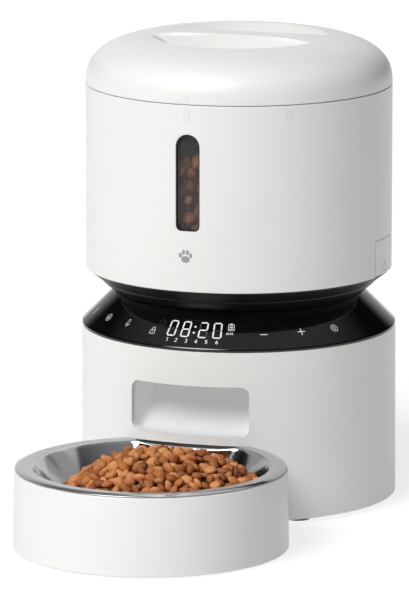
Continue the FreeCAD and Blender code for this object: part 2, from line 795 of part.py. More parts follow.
def gear_motor():
    """Motor, gearbox and two pairs of gears. The output gear carries the wheel's driving shaft."""
    cover_top = deck_low
    cover_low = cover_top - gearbox_wall
    box_low = cover_top - gearbox_depth
    bottom_top = box_low + gearbox_wall
    half = gear_module * (output_teeth / 2 + gear_addendum) + gear_side_gap + gearbox_wall
    end_y = pinion_y + motor_radius - half
    output_low = bottom_top + gear_floor_gap
    output_high = output_low + output_face
    large_low = output_high + gear_gap
    large_high = large_low + idler_face
    small_tooth = -90 + 180 / pinion_teeth
    pin_top = cover_top - pin_cap

    shell = stadium(half, 0, end_y, box_low, cover_low)
    shell = shell.cut(stadium(half - gearbox_wall, 0, end_y, bottom_top, cover_low + overcut))
    for radius, y in ((shaft_radius - shaft_step + running, 0), (pin_radius, idler_y), (motor_boss_radius, pinion_y)):
        shell = shell.cut(rod(radius, box_low - overcut, bottom_top + overcut, 0, y))
    save("gearbox_housing", shell)
    cover = stadium(half, 0, end_y, cover_low, cover_top)
    cover = cover.cut(rod(shaft_radius + running, cover_low - overcut, cover_top + overcut))
    save("gearbox_cover", cover.cut(rod(pin_radius, cover_low - overcut, pin_top, 0, idler_y)))

    shoulder = wheel_stub_low - loose
    shaft = rod(shaft_radius, output_low, shoulder)
    shaft = shaft.fuse(rod(shaft_radius - shaft_step, box_low + 2 * slip, output_low))
    shaft = shaft.fuse(hexagon(key_flat, shoulder - overcut, shoulder + key_height))
    save("drive_gear", gear(output_teeth, output_low, output_high, 0, 90).fuse(shaft).removeSplitter())

    small = gear(pinion_teeth, output_low - pinion_overhang, large_low, idler_y, small_tooth)
    large = gear(idler_large_teeth, large_low, large_high, idler_y, 90)
    bore = rod(pin_radius + running, box_low, cover_top, 0, idler_y)
    save("idler_gear", small.fuse(large).cut(bore))
    save("idler_pin", rod(pin_radius, box_low, pin_top, 0, idler_y))

    pinion = gear(pinion_teeth, large_low - pinion_overhang, large_high + pinion_overhang, pinion_y, small_tooth)
    shaft = rod(motor_shaft_radius, box_low + loose, large_low, 0, pinion_y)
    save("motor_pinion", pinion.fuse(shaft).removeSplitter())
    save("motor", motor(box_low))


def motor(top):
    """Motor can under the gearbox, with a bore for the pinion's shaft and two terminals."""
    low = top - motor_length
    width, thickness, length = motor_terminal
    can = rod(motor_radius, low, top, 0, pinion_y)
    can = round_edges(can, 1.5, lambda c: c.z < top - 1)
    for x in (-motor_terminal_x, motor_terminal_x):
        can = can.fuse(block(x - width / 2, x + width / 2, pinion_y - thickness / 2, pinion_y + thickness / 2,
                             low - length, low + overcut))
    return can.cut(rod(motor_bore_radius, top - motor_bore_depth, top + overcut, 0, pinion_y)).removeSplitter()


# ---------------------------------------------------------------- base
def chute_outlines():
    """Side and plan outlines of the space inside the chute."""
    ceiling = mouth_z + mouth_height
    ramp = mouth_floor - shell_inside
    side = [(chute_front, mouth_z), (ramp, mouth_z), (chute_rear, deck_low),
            (-outlet_front - 2 * outlet_step, deck_low), (ramp - 5, ceiling), (chute_front, ceiling)]
    plan = [(-mouth_half_width, chute_front), (mouth_half_width, chute_front),
            (chute_top_half, chute_rear), (-chute_top_half, chute_rear)]
    return side, plan


def chute_space(offset):
    """The chute's inside, grown by offset on every side."""
    side, plan = chute_outlines()
    side_wire = Part.makePolygon([vector(0, y, z) for y, z in side + side[:1]])
    plan_wire = Part.makePolygon([vector(x, y, 0) for x, y in plan + plan[:1]])
    side_face = Part.Face(side_wire)
    plan_face = Part.Face(plan_wire)
    if offset:
        side_face = side_face.makeOffset2D(offset, 2)
        plan_face = plan_face.makeOffset2D(offset, 2)
    side_face.translate(vector(-reach / 2, 0, 0))
    along = side_face.extrude(vector(reach, 0, 0))
    upright = plan_face.extrude(vector(0, 0, reach))
    return along.common(upright)


def chute():
    body = chute_space(chute_wall).cut(chute_space(0))
    body = body.cut(block(-reach, reach, -reach, reach, deck_low, reach))
    inside_casing = rod(shell_inside - slip, 0, reach)
    body = body.common(inside_casing)
    return max(body.Solids, key=lambda s: s.Volume)


def ring_underside(r):
    """Height of the control ring's underside at a radius."""
    return shell_top + ring_lip + (base_radius - r) * ring_slope - ring_wall


def slope_band(start, sweep, depth, thickness, r_low, r_high):
    """Part of a cone that lies under the control ring's slope, depth below its underside."""
    def under(r):
        return ring_underside(r) - depth

    return revolve([(r_low, under(r_low)), (r_low, under(r_low) - thickness), (r_high, under(r_high) - thickness),
                    (r_high, under(r_high))], start=start - 90, sweep=sweep)


def control_ring():
    sleeve = neck_radius - ring_sleeve_wall
    under_in = sleeve + ring_sleeve_wall + 0.3
    ring = revolve([(base_radius, shell_top), (base_radius, shell_top + ring_lip), (neck_radius, ring_top),
                    (sleeve, ring_top), (sleeve, ring_top - ring_sleeve_depth),
                    (under_in, ring_top - ring_sleeve_depth),
                    (under_in, ring_underside(under_in)), (shell_inside, ring_underside(shell_inside)),
                    (shell_inside, shell_top)])
    return round_edges(ring, 0.8, lambda c: abs(c.z - shell_top - ring_lip) < 0.01)


def base_casing():
    outer = [(base_radius + base_draft, base_bottom), (base_radius, shell_top), (shell_inside, shell_top),
             (shell_inside, base_bottom)]
    casing = revolve(outer)
    casing = round_edges(casing, 1.0, lambda c: abs(c.z - base_bottom) < 0.01)
    posts = tapped_posts(rear_posts, post_distance, floor_top, deck_low)
    posts += tapped_posts(front_posts, post_distance, floor_top, floor_top + front_post_height)
    for angle in rear_posts + front_posts:
        x, y = around(angle, post_distance + post_radius)
        high = deck_low if angle in rear_posts else floor_top + front_post_height
        web = block(-post_web / 2, post_web / 2, -post_radius / 2, casing_wall, floor_top, high)
        turned_about_z(web, angle + 180)
        web.translate(vector(x, y, 0))
        posts.append(web)
    casing = casing.multiFuse(posts).removeSplitter()
    for angle in rear_posts + front_posts:
        x, y = around(angle, post_distance)
        casing = casing.cut(rod(screw_shank_radius, floor_top - overcut, floor_top + screw_length, x, y))
        if angle in rear_posts:
            casing = casing.cut(rod(screw_shank_radius, deck_low - screw_length, deck_low + overcut, x, y))
    mouth = upright_panel(mouth_half_width, mouth_z, mouth_z + mouth_height, mouth_corner,
                          chute_front, -shell_inside + 4 * casing_wall)
    inlet = rod_along_y(inlet_radius + slip, shell_inside - casing_wall, base_radius + casing_wall, 0, inlet_z)
    return casing.cut(mouth).cut(inlet)


def base_floor():
    plate = rod(shell_inside - slip * 2, floor_low, floor_top)
    for angle in rear_posts + front_posts:
        x, y = around(angle, post_distance)
        plate = plate.cut(rod(screw_shank_radius + 2 * slip, floor_low - overcut, floor_top + overcut, x, y))
    door_x, door_y0, door_y1 = door_size()
    side = door_x + door_gap
    plate = plate.cut(block(-side, side, door_y0 - door_gap, door_y1 + door_gap,
                            floor_low - overcut, floor_top + overcut))
    axle = door_x + door_stub_length + slip
    plate = plate.cut(rod_along_x(door_stub_radius + running, -axle, axle, door_y1 - door_round, door_z))
    for row in range(speaker_hole_rows):
        count = 6 * row if row else 1
        for i in range(count):
            x, y = around(360 / count * i, speaker_hole_pitch * row)
            plate = plate.cut(rod(speaker_hole_radius, floor_low - overcut, floor_top + overcut, x, speaker_y + y))
    return plate


def door_size():
    """Half width and the front and rear edges of the battery door."""
    half = cell_pitch * (cell_count - 1) / 2 + cell_radius - door_rim
    return half, cell_centre_y - cell_length / 2, cell_centre_y + cell_length / 2


def battery_door():
    """Door with a finger hollow in front and a rounded rear edge between two stub axles."""
    half, front, rear = door_size()
    axis_y = rear - door_round
    door = block(-half, half, front, axis_y, floor_low + door_inset, floor_top - door_inset)
    door = door.fuse(rod_along_x(door_round, -half, half, axis_y, door_z))
    axle = half + door_stub_length
    door = door.fuse(rod_along_x(door_stub_radius, -axle, axle, axis_y, door_z)).removeSplitter()
    return door.cut(block(-finger_half_width, finger_half_width, front + 3, front + 3 + finger_length,
                          floor_low, floor_low + door_inset + finger_depth))


def battery_cell():
    """Round cell lying along Y with its plus end to the rear."""
    cell = rod_along_y(cell_radius, -cell_length / 2, cell_length / 2, 0, 0)
    cell = round_edges(cell, 1.2, lambda c: True)
    nub = rod_along_y(cell_nub_radius, cell_length / 2 - overcut, cell_length / 2 + cell_nub, 0, 0)
    return cell.fuse(nub).removeSplitter()


def battery_spring():
    """Conical coil that stands along +Y from the origin."""
    height = spring_height - 2 * spring_wire_radius - slip
    helix = Part.makeHelix(spring_pitch, height, spring_base_radius, spring_cone)
    first = helix.Edges[0]
    point = first.valueAt(first.FirstParameter)
    section = Part.Circle(point, first.tangentAt(first.FirstParameter), spring_wire_radius).toShape()
    coil = Part.Wire(helix.Edges).makePipeShell([Part.Wire(section)], True, True)
    coil.rotate(vector(0, 0, 0), vector(1, 0, 0), -90)
    return coil


def battery_parts():
    """Box, cells, contacts and springs. Neighbouring cells lie with opposite ends to the rear."""
    half = cell_pitch * (cell_count - 1) / 2 + cell_radius + loose
    front = cell_centre_y - cell_length / 2 - spring_height - contact_thickness
    rear = cell_centre_y + cell_length / 2 + cell_nub + contact_thickness
    cell_z = floor_top + loose + cell_radius
    wall = holder_box_wall
    box = block(-half - wall, half + wall, front - wall, rear + wall, floor_top, battery_top)
    box = box.cut(block(-half, half, front, rear, floor_top - overcut, battery_top - wall))
    save("battery_box", box)
    cells = []
    plates = []
    springs = []
    for i in range(cell_count):
        x = cell_pitch * (i - (cell_count - 1) / 2)
        cell = battery_cell()
        spring = battery_spring()
        cell.translate(vector(0, cell_centre_y, 0))
        spring.translate(vector(0, front + contact_thickness + spring_wire_radius + running, 0))
        for shape in (cell, spring):
            if i % 2:
                shape.rotate(vector(0, (front + rear) / 2, 0), vector(0, 0, 1), 180)
            shape.translate(vector(x, 0, cell_z))
        cells.append(cell)
        springs.append(spring)
        for y in (front, rear - contact_thickness):
            plates.append(block(x - contact_half, x + contact_half, y, y + contact_thickness,
                                cell_z - contact_half, cell_z + contact_half))
    save("battery_cells", *cells)
    save("battery_contacts", *plates)
    save("battery_springs", *springs)
    save("battery_door", battery_door())


def electronics():
    touch_boards = []
    for start in (-touch_board_start - touch_board_sweep, touch_board_start):
        touch_boards.append(slope_band(start, touch_board_sweep, board_gap, board_thickness,
                                       touch_board_low, touch_board_high))
    save("touch_board", *touch_boards)
    save("display_module", slope_band(-display_half_angle, 2 * display_half_angle, board_gap, display_thickness,
                                      display_low, display_high))
    x, y = around(microphone_angle, microphone_distance)
    top = ring_underside(microphone_distance + microphone_radius) - board_gap - board_thickness - loose
    save("microphone", rod(microphone_radius, top - microphone_height, top, x, y))
    save("food_sensors", *food_sensors())
    save("power_inlet", power_inlet())
    main_board()
    speaker()


def main_board():
    """Circuit board over the battery box, on four spacers, with its largest components."""
    x0, x1, y0, y1 = main_board_box
    low = battery_top + main_board_lift
    high = low + main_board_thickness
    save("main_board", block(x0, x1, y0, y1, low, high))
    spacers = []
    for x in (x0 + spacer_inset, x1 - spacer_inset):
        for y in (y0 + spacer_inset, y1 - spacer_inset):
            spacers.append(tube_at(spacer_bore, spacer_radius, battery_top, low, x, y))
    save("board_spacers", *spacers)
    middle = (x0 + x1) / 2
    processor = block(middle - 8, middle + 2, y0 + 18, y0 + 28, high, high + 1.6)
    connector = block(x0 + 2, x0 + 8, y1 - 20, y1 - 4, high, high + 6.4)
    radio = block(x1 - 16, x1 - 4, y1 - 16, y1 - 8, high, high + 3.4)
    capacitors = []
    for y in (y0 + 12, y0 + 22):
        capacitors.append(rod(4.0, high, high + 10.4, x1 - 8, y))
    save("board_components", processor, connector, radio, *capacitors)


def speaker():
    """Small speaker that faces down over the holes in the floor, and its cone."""
    frame_top, plate_top, neck_top, magnet_top = [floor_top + step for step in speaker_steps]
    body = tube(speaker_cone_radius + slip, speaker_radius, floor_top, frame_top, speaker_y)
    body = body.fuse(tube(speaker_neck_radius, speaker_radius, frame_top, plate_top, speaker_y))
    body = body.fuse(tube(speaker_neck_radius, speaker_magnet_radius, plate_top, neck_top, speaker_y))
    body = body.fuse(rod(speaker_magnet_radius, neck_top, magnet_top, 0, speaker_y)).removeSplitter()
    save("speaker", body)
    edge = floor_top + 0.8
    centre = floor_top + 2.5
    thickness = 0.6
    save("speaker_cone", revolve([(0, centre), (6.0, centre), (speaker_cone_radius, edge),
                                  (speaker_cone_radius, edge + thickness), (6.0, centre + thickness),
                                  (0, centre + thickness)], speaker_y))


def power_inlet():
    """Barrel socket in the casing's rear wall."""
    face = base_radius - inlet_recess
    back = face - inlet_length
    body = rod_along_y(inlet_radius, back, face, 0, inlet_z)
    body = body.cut(rod_along_y(inlet_bore, face - inlet_depth, face, 0, inlet_z))
    body = body.fuse(block(-inlet_radius, inlet_radius, back - inlet_block + 2, back + 2,
                           inlet_z - inlet_block, inlet_z + inlet_block))
    return body.fuse(rod_along_y(inlet_pin_radius, back, face - 1.5, 0, inlet_z)).removeSplitter()


def food_sensors():
    """Light gate on the two slanting side walls of the chute."""
    length = chute_rear - chute_front
    narrowing = mouth_half_width - chute_top_half
    wall_x = mouth_half_width - narrowing * (-sensor_distance - chute_front) / length + chute_wall + 0.25
    depth, width, height = sensor_size
    sensors = []
    for side in (-1, 1):
        sensor = block(0, depth, -width / 2, width / 2, -height / 2, height / 2)
        turned_about_z(sensor, (0 if side > 0 else 180) + side * math.degrees(math.atan2(narrowing, length)))
        sensor.translate(vector(side * wall_x, -sensor_distance, mouth_z + mouth_height - sensor_drop))
        sensors.append(sensor)
    return sensors


def tube_at(inner, outer, low, high, x, y):
    return rod(outer, low, high, x, y).cut(rod(inner, low - 1, high + 1, x, y))


def deck():
    """Plate across the base with the collar that the hopper's chamber stands in."""
    plate = tube(deck_hole_radius, shell_inside - slip * 2, deck_low, deck_top)
    collar_out = collar_radius + collar_wall
    collar = tube(collar_radius, collar_out, deck_top - overcut, deck_top + collar_height)
    body = plate.fuse(collar).removeSplitter()
    side = outlet_half_width + outlet_step
    body = body.cut(block(-side, side, -outlet_front - outlet_step, outlet_step - outlet_rear,
                          deck_low - overcut, deck_top + overcut))
    pocket_half = latch_half_width + 1.5
    pocket = block(collar_radius - overcut, collar_out + overcut, -pocket_half, pocket_half,
                   ring_top - latch_hook_depth - 1.5, ring_top)
    for cutter in both_sides(pocket):
        body = body.cut(cutter)
    for angle in rear_posts:
        x, y = around(angle, post_distance)
        body = body.cut(rod(screw_shank_radius + 2 * slip, deck_low - overcut, deck_top + overcut, x, y))
    return body


def floor_screws():
    screws = []
    for angle in rear_posts + front_posts:
        x, y = around(angle, post_distance)
        screws.append(screw(x, y, floor_low - screw_head_height, True))
    return screws


def deck_screws():
    screws = []
    for angle in rear_posts:
        x, y = around(angle, post_distance)
        screws.append(screw(x, y, deck_top + screw_head_height, False))
    return screws


def rubber_feet():
    feet = []
    for angle in foot_angles:
        x, y = around(angle, base_radius - foot_inset)
        foot = rod(foot_radius, 0, floor_low, x, y)
        feet.append(round_edges(foot, 0.6, lambda c: c.z < 0.01))
    return feet


def base():
    save("base_casing", base_casing())
    save("base_floor", base_floor())
    save("deck", deck())
    save("control_ring", control_ring())
    save("chute", chute())
    save("floor_screws", *floor_screws())
    save("deck_screws", *deck_screws())
    save("rubber_feet", *rubber_feet())
    battery_parts()
    electronics()
    gear_motor()


# ---------------------------------------------------------------- bowl
def bowl_holder():
    top = holder_bottom + holder_height
    draft = (holder_radius - holder_top_radius) / holder_height
    y = -bowl_distance
    outside = revolve([(0, holder_bottom), (holder_radius, holder_bottom), (holder_top_radius, top), (0, top)], y)
    outside = outside.cut(rod(nest_radius, -1, reach))
    floor = holder_bottom + holder_wall
    inside = revolve([(0, floor), (holder_radius - holder_wall - draft * holder_wall, floor),
                      (holder_top_radius - holder_wall, top + 1), (0, top + 1)], y)
    inside = inside.cut(rod(nest_radius + holder_wall, -1, reach))
    holder = outside.cut(inside)
    holder = round_edges(holder, holder_edge_round, lambda c: abs(c.z - holder_bottom) < 0.01 and c.y < y)
    tongue_y = -nest_radius - 4
    tongue = block(-tongue_half_width, tongue_half_width, tongue_y, -base_radius + tongue_length,
                   holder_bottom, holder_bottom + tongue_thickness)
    return holder.fuse(tongue).removeSplitter()


def steel_bowl():
    """Pressed bowl: a wide rim on the holder's edge, sloping sides and a rounded floor."""
    y = -bowl_distance
    low = holder_bottom + holder_height
    top = low + bowl_rim_height
    floor = top - bowl_depth

    def cup(grow, above):
        outline = [(0, floor - grow), (bowl_floor_radius + grow, floor - grow), (bowl_mouth_radius + grow, low),
                   (bowl_mouth_radius + grow, above), (0, above)]
        solid = revolve(outline, y)
        solid = round_edges(solid, bowl_floor_round + grow, lambda c: abs(c.z - floor + grow) < 0.01)
        return solid.cut(rod(nest_radius + holder_wall + loose + bowl_wall - grow, -1, reach))

    rim = revolve([(0, low), (bowl_rim_radius, low), (bowl_rim_radius, top), (0, top)], y)
    rim = rim.cut(rod(nest_radius + bowl_rim_gap, -1, reach))
    rim = round_edges(rim, 0.8, lambda c: abs(c.z - top) < 0.01 and c.y < y + 1)
    return rim.fuse(cup(bowl_wall, low + bowl_wall)).cut(cup(0, top + 1)).removeSplitter()


def bowl():
    save("bowl_holder", bowl_holder())
    save("steel_bowl", steel_bowl())
    pads = []
    for angle in pad_angles:
        x, y = around(angle, holder_radius - pad_inset)
        pads.append(rod(pad_radius, 0, holder_bottom, x, y - bowl_distance))
    save("holder_pads", *pads)


# ---------------------------------------------------------------- build
lid()
hopper()
base()
bowl()
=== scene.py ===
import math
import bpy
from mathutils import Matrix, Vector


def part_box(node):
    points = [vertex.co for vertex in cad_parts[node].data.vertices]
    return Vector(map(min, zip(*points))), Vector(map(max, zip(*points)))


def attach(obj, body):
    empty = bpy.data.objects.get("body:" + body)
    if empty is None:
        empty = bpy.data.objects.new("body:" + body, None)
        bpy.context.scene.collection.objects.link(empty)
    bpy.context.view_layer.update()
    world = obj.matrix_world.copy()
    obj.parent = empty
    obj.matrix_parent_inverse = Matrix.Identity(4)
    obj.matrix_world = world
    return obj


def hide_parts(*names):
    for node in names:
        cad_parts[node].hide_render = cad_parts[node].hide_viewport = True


bl_info = {
    "name": "Dry food feeder",
    "version": (1, 0, 0),
    "blender": (4, 5, 0),
    "location": "View3D > Sidebar > Feeder",
    "description": "Builds the visible pieces of an automatic dry food feeder around its CAD frame",
    "category": "Object",
}

import bmesh
import bpy
import numpy as np
from mathutils import Vector

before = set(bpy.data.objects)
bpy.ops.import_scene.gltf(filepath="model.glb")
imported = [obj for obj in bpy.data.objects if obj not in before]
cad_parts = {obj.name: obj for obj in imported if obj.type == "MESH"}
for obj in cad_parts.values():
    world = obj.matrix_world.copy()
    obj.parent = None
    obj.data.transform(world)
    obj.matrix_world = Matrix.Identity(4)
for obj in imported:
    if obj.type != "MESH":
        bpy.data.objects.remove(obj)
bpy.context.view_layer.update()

MM = 0.001
DEG = math.pi / 180


def top_of(node):
    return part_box(node)[1].z


def bottom_of(node):
    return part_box(node)[0].z


def wide(node):
    """Half of a round node's width."""
    return (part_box(node)[1].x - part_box(node)[0].x) / 2


# Places that the CAD frame gives.
AXIS_Y = (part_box("control_ring")[0].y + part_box("control_ring")[1].y) / 2
BOWL_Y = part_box("steel_bowl")[0].y + wide("steel_bowl")
APART = AXIS_Y - BOWL_Y
RING_LOW = top_of("base_casing")
RING_TOP = top_of("control_ring")
RING_R = wide("control_ring")
SKIRT_LOW = bottom_of("hopper_skirt")
HOPPER_LOW = bottom_of("hopper_casing")
HOPPER_TOP = top_of("hopper_casing")
HOPPER_R = wide("hopper_casing")
LID_LOW = bottom_of("lid_dome")
LID_TOP = top_of("lid_dome")
BASE_LOW = bottom_of("base_casing")
BASE_R = wide("base_casing")
HOLDER_LOW = bottom_of("bowl_holder")
HOLDER_TOP = top_of("bowl_holder")
BOWL_TOP = top_of("steel_bowl")
BOWL_R = wide("steel_bowl")
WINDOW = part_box("hopper_window")

# Sizes that more than one piece shares.
RING_LIP = 1.6 * MM         # upright edge under the ring's slope
RING_RUN = 18 * MM          # how far the slope draws in
DOME_ROUND = 4.2            # exponents of the lid's rounded profile
DOME_SHOULDER = 2.5
TURN = 38 * DEG             # the lid's turn from locked to open
LIFT = 0.03 * MM            # prints and marks over their surface
LATCH_HALF = 8.25 * DEG
LATCH_GAP = 0.5 * MM
SEAM = -135 * DEG           # where a casing's grid begins and ends


# ---------------------------------------------------------------- settings a user would change
def size(name, description, value):
    return bpy.props.FloatProperty(name=name, description=description, default=value * MM, min=0.0,
                                   unit="LENGTH", subtype="DISTANCE", precision=4)


def linear(code):
    """Linear red, green and blue of an sRGB hex colour."""
    parts = [int(code[i:i + 2], 16) / 255 for i in (0, 2, 4)]
    return tuple(c / 12.92 if c <= 0.04045 else ((c + 0.055) / 1.055) ** 2.4 for c in parts)


def colour(name, description, code):
    return bpy.props.FloatVectorProperty(name=name, description=description, default=linear(code), size=3,
                                         min=0.0, max=1.0, subtype="COLOR")


class LidSizes(bpy.types.PropertyGroup):
    grip_radius: size("Grip radius", "Radius of the round hollow for the fingers", 47.0)
    grip_depth: size("Grip depth", "Depth of the hollow below its edge", 12.5)
    bar_middle: size("Bar, middle", "Half width of the grip bar in the middle", 7.0)
    bar_end: size("Bar, ends", "Half width of the grip bar where it meets the dome", 16.0)
    wall: size("Wall", "Thickness of the moulded shells", 2.2)


class HopperSizes(bpy.types.PropertyGroup):
    window_margin: size("Window gap", "Gap round the window panel", 0.1)
    window_corner: size("Window corner", "Radius of the window's lower corners", 3.0)
    latch_top: size("Latch height", "Height of the release tongue over the casing's edge", 20.3)
    food_level: size("Food level", "Height of the food in the tank", 201.5)
    kibble: size("Kibble width", "Mean width of one piece of kibble", 6.6)


class BaseSizes(bpy.types.PropertyGroup):
    mouth_half_width: size("Mouth half width", "Half width of the chute's mouth", 34.2)
    mouth_low: size("Mouth bottom", "Height of the mouth's lower edge", 49.9)
    mouth_high: size("Mouth top", "Height of the mouth's upper edge", 77.9)
    mouth_corner: size("Mouth corner", "Corner radius of the mouth", 4.8)
    slit_height: size("Slit height", "Height of the slit behind the bowl's rim", 3.2)
    slit_reach: bpy.props.FloatProperty(name="Slit reach", default=24.5, min=0.0, max=60.0,
                                        description="Half of the slit's length round the axis, in degrees")


class BowlSizes(bpy.types.PropertyGroup):
    rim_width: size("Rim width", "Width of the steel rim", 9.4)
    floor_radius: size("Floor radius", "Radius of the bowl's floor", 46.0)
    depth: size("Depth", "Depth of the bowl below its rim", 33.0)
    heap: size("Heap", "Height of the food over the bowl's floor", 38.5)
    dip: size("Dip", "Drop of the rim where it lies against the base", 1.5)


class Finishes(bpy.types.PropertyGroup):
    abs_white: colour("White ABS", "Outer casings", "D9D9D7")
    ring_black: colour("Black gloss", "Control ring", "060607")
    skirt_black: colour("Black satin", "Underside of the hopper", "0A0A0B")
    steel: colour("Stainless steel", "Food bowl", "C4C5C7")
    food: colour("Kibble", "Dry food", "A4602F")


# ---------------------------------------------------------------- surfaces
def grid(points, wrap_rows=False, wrap_columns=False):
    """Quads between neighbouring points of a rows x columns x 3 array."""
    rows, columns = points.shape[:2]
    i = np.arange(rows if wrap_rows else rows - 1)[:, None]
    j = np.arange(columns if wrap_columns else columns - 1)[None, :]
    after_i = (i + 1) % rows
    after_j = (j + 1) % columns
    corners = np.broadcast_arrays(i * columns + j, i * columns + after_j, after_i * columns + after_j,
                                  after_i * columns + j)
    return points.reshape(-1, 3), np.stack(corners, -1).reshape(-1, 4)


def eased(share):
    """Smooth step from 0 to 1: 3 t^2 - 2 t^3."""
    return share * share * (3 - 2 * share)


def linked(name, data):
    """A new object in the scene."""
    made = bpy.data.objects.new(name, data)
    bpy.context.scene.collection.objects.link(made)
    return made


def stations(*spans):
    """Sorted grid values from several (start, stop, count) spans."""
    return np.unique(np.concatenate([np.linspace(*span) for span in spans]).round(7))


def polar(radius, angle, height, axis_y=None):
    """Points at a radius and an angle from the front (-Y), positive towards +X, about an upright axis."""
    axis_y = AXIS_Y if axis_y is None else axis_y
    radius, angle, height = np.broadcast_arrays(radius, angle, height)
    return np.stack([radius * np.sin(angle), axis_y - radius * np.cos(angle), height], -1)


def turned(profile, count=240, axis_y=None):
    """A profile of (radius, height) points carried round an upright axis."""
    profile = np.array(profile)
    angle = np.linspace(0, 2 * math.pi, count, endpoint=False)
    points = polar(profile[:, 0][:, None], angle[None, :], profile[:, 1][:, None], axis_y)
    return grid(points, wrap_columns=True)


def rounded(corners, radius, steps=5):
    """An open line of 2-D corners with each inner corner replaced by a round of up to the radius."""
    corners = [np.array(c, float) for c in corners]
    line = [corners[0]]
    for before, corner, after in zip(corners, corners[1:], corners[2:]):
        a = before - corner
        b = after - corner
        reach = min(radius, np.linalg.norm(a) * 0.45, np.linalg.norm(b) * 0.45)
        start = corner + a / np.linalg.norm(a) * reach
        end = corner + b / np.linalg.norm(b) * reach
        for t in np.linspace(0, 1, steps + 1):
            line.append((1 - t) ** 2 * start + 2 * t * (1 - t) * corner + t ** 2 * end)
    line.append(corners[-1])
    return np.array(line)


def outline(half_width, low, high, low_corner, high_corner, steps=24):
    """Closed outline of an upright panel from its right side round: four quarter circles joined up."""
    line = []
    for x, z, start, corner in ((1, high, 0, high_corner), (-1, high, 90, high_corner),
                                (-1, low, 180, low_corner), (1, low, 270, low_corner)):
        angle = np.radians(np.linspace(start, start + 90, steps))
        middle_x = x * (half_width - corner)
        middle_z = z - corner if z == high else z + corner
        line.append(np.stack([middle_x + corner * np.cos(angle), middle_z + corner * np.sin(angle)], 1))
    return np.concatenate(line)


def wall(columns, rows, place, holes):
    """Grid over column and row values with openings, put in space by place(column, row).

    Inside a hole's rectangle, rings of quads run from the rectangle to the hole's outline: each ring is
    the straight blend between a rectangle point and the outline point in the same direction.
    """
    u, v = np.meshgrid(columns, rows)
    index = np.arange(u.size).reshape(u.shape)
    flat = np.stack([u.ravel(), v.ravel()], 1)
    keep = np.ones((len(rows) - 1, len(columns) - 1), bool)
    plane = [flat]
    faces = []
    count = u.size
    for u0, u1, v0, v1, edge_line in holes:
        i0, i1 = np.searchsorted(columns, [u0 - 1e-6, u1 - 1e-6])
        j0, j1 = np.searchsorted(rows, [v0 - 1e-6, v1 - 1e-6])
        keep[j0:j1, i0:i1] = False
        if edge_line is None:
            continue
        loop = np.concatenate([index[j0, i0:i1], index[j0:j1, i1], index[j1, i1:i0:-1], index[j1:j0:-1, i0]])
        centre = np.array([(u0 + u1) / 2, (v0 + v1) / 2])
        half = np.array([(u1 - u0) / 2, (v1 - v0) / 2])
        offset = (flat[loop] - centre) / half
        line_offset = (edge_line - centre) / half
        direction = np.arctan2(offset[:, 1], offset[:, 0])
        line_direction = np.arctan2(line_offset[:, 1], line_offset[:, 0])
        target = np.stack([np.interp(direction, line_direction, edge_line[:, k], period=2 * math.pi)
                           for k in (0, 1)], 1)
        before = loop
        for share in (0.4, 0.8, 1.0):
            ring = np.arange(count, count + len(loop))
            plane.append(flat[loop] + (target - flat[loop]) * share)
            faces.append(np.stack([before, np.roll(before, -1), np.roll(ring, -1), ring], 1))
            before = ring
            count += len(loop)
    quads = np.stack([index[:-1, :-1], index[:-1, 1:], index[1:, 1:], index[1:, :-1]], -1)[keep]
    plane = np.concatenate(plane)
    return place(plane[:, 0], plane[:, 1]), np.concatenate([quads] + faces)


def piece(name, parts, body, material, replaces=(), thickness=0.0, bevel=0.0, tones=None, flip=None):
    """Join surfaces into one object that rides on a body.

    A thickness is laid inwards from the surface, which flip=(x, y) tells from the upright axis it faces
    away from. Otherwise the joined surface is closed and its faces are turned outwards.
    """
    points = []
    faces = []
    start = 0
    for part_points, part_faces in parts:
        points.append(part_points)
        faces.append(part_faces + start)
        start += len(part_points)
    points = np.concatenate(points)
    faces = [tuple(dict.fromkeys(face)) for block in faces for face in block.tolist()]
    mesh = bpy.data.meshes.new(name)
    mesh.from_pydata(points.tolist(), [], faces)
    if tones is not None:
        layer = mesh.attributes.new("tone", "FLOAT", "POINT")
        layer.data.foreach_set("value", np.asarray(tones, np.float32))
    work = bmesh.new()
    work.from_mesh(mesh)
    if tones is None:
        bmesh.ops.remove_doubles(work, verts=work.verts, dist=2e-6)
        bmesh.ops.dissolve_degenerate(work, edges=work.edges, dist=1e-6)
    bmesh.ops.recalc_face_normals(work, faces=work.faces)
    if flip is not None:
        side = 0.0
        for face in work.faces:
            centre = face.calc_center_median()
            away = Vector((centre.x - flip[0], centre.y - flip[1], 0))
            side += face.normal.dot(away) * face.calc_area()
        if side < 0:
            bmesh.ops.reverse_faces(work, faces=work.faces)
    for face in work.faces:
        face.smooth = True
    work.to_mesh(mesh)
    work.free()
    made = linked(name, mesh)
    mesh.materials.append(material)
    if thickness:
        shell = made.modifiers.new("wall", "SOLIDIFY")
        shell.thickness = thickness
        shell.offset = -1
        shell.use_even_offset = True
    if bevel:
        edge = made.modifiers.new("edges", "BEVEL")
        edge.width = bevel
        edge.segments = 3
        edge.limit_method = "ANGLE"
        edge.angle_limit = 40 * DEG
        edge.harden_normals = True
        edge.use_clamp_overlap = True
    if not bevel and tones is None:
        mesh.set_sharp_from_angle(angle=45 * DEG)
    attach(made, body)
    if replaces:
        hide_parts(*replaces)
    return made


# ---------------------------------------------------------------- materials
def add(material, kind, settings=None, links=None):
    """Add a shader node, set its properties or inputs, and link its inputs from other sockets."""
    node = material.node_tree.nodes.new(kind)
    for key, value in (settings or {}).items():
        if isinstance(key, int) or key in node.inputs:
            node.inputs[key].default_value = value
        else:
            setattr(node, key, value)
    for key, socket in (links or {}).items():
        material.node_tree.links.new(socket, node.inputs[key])
    return node


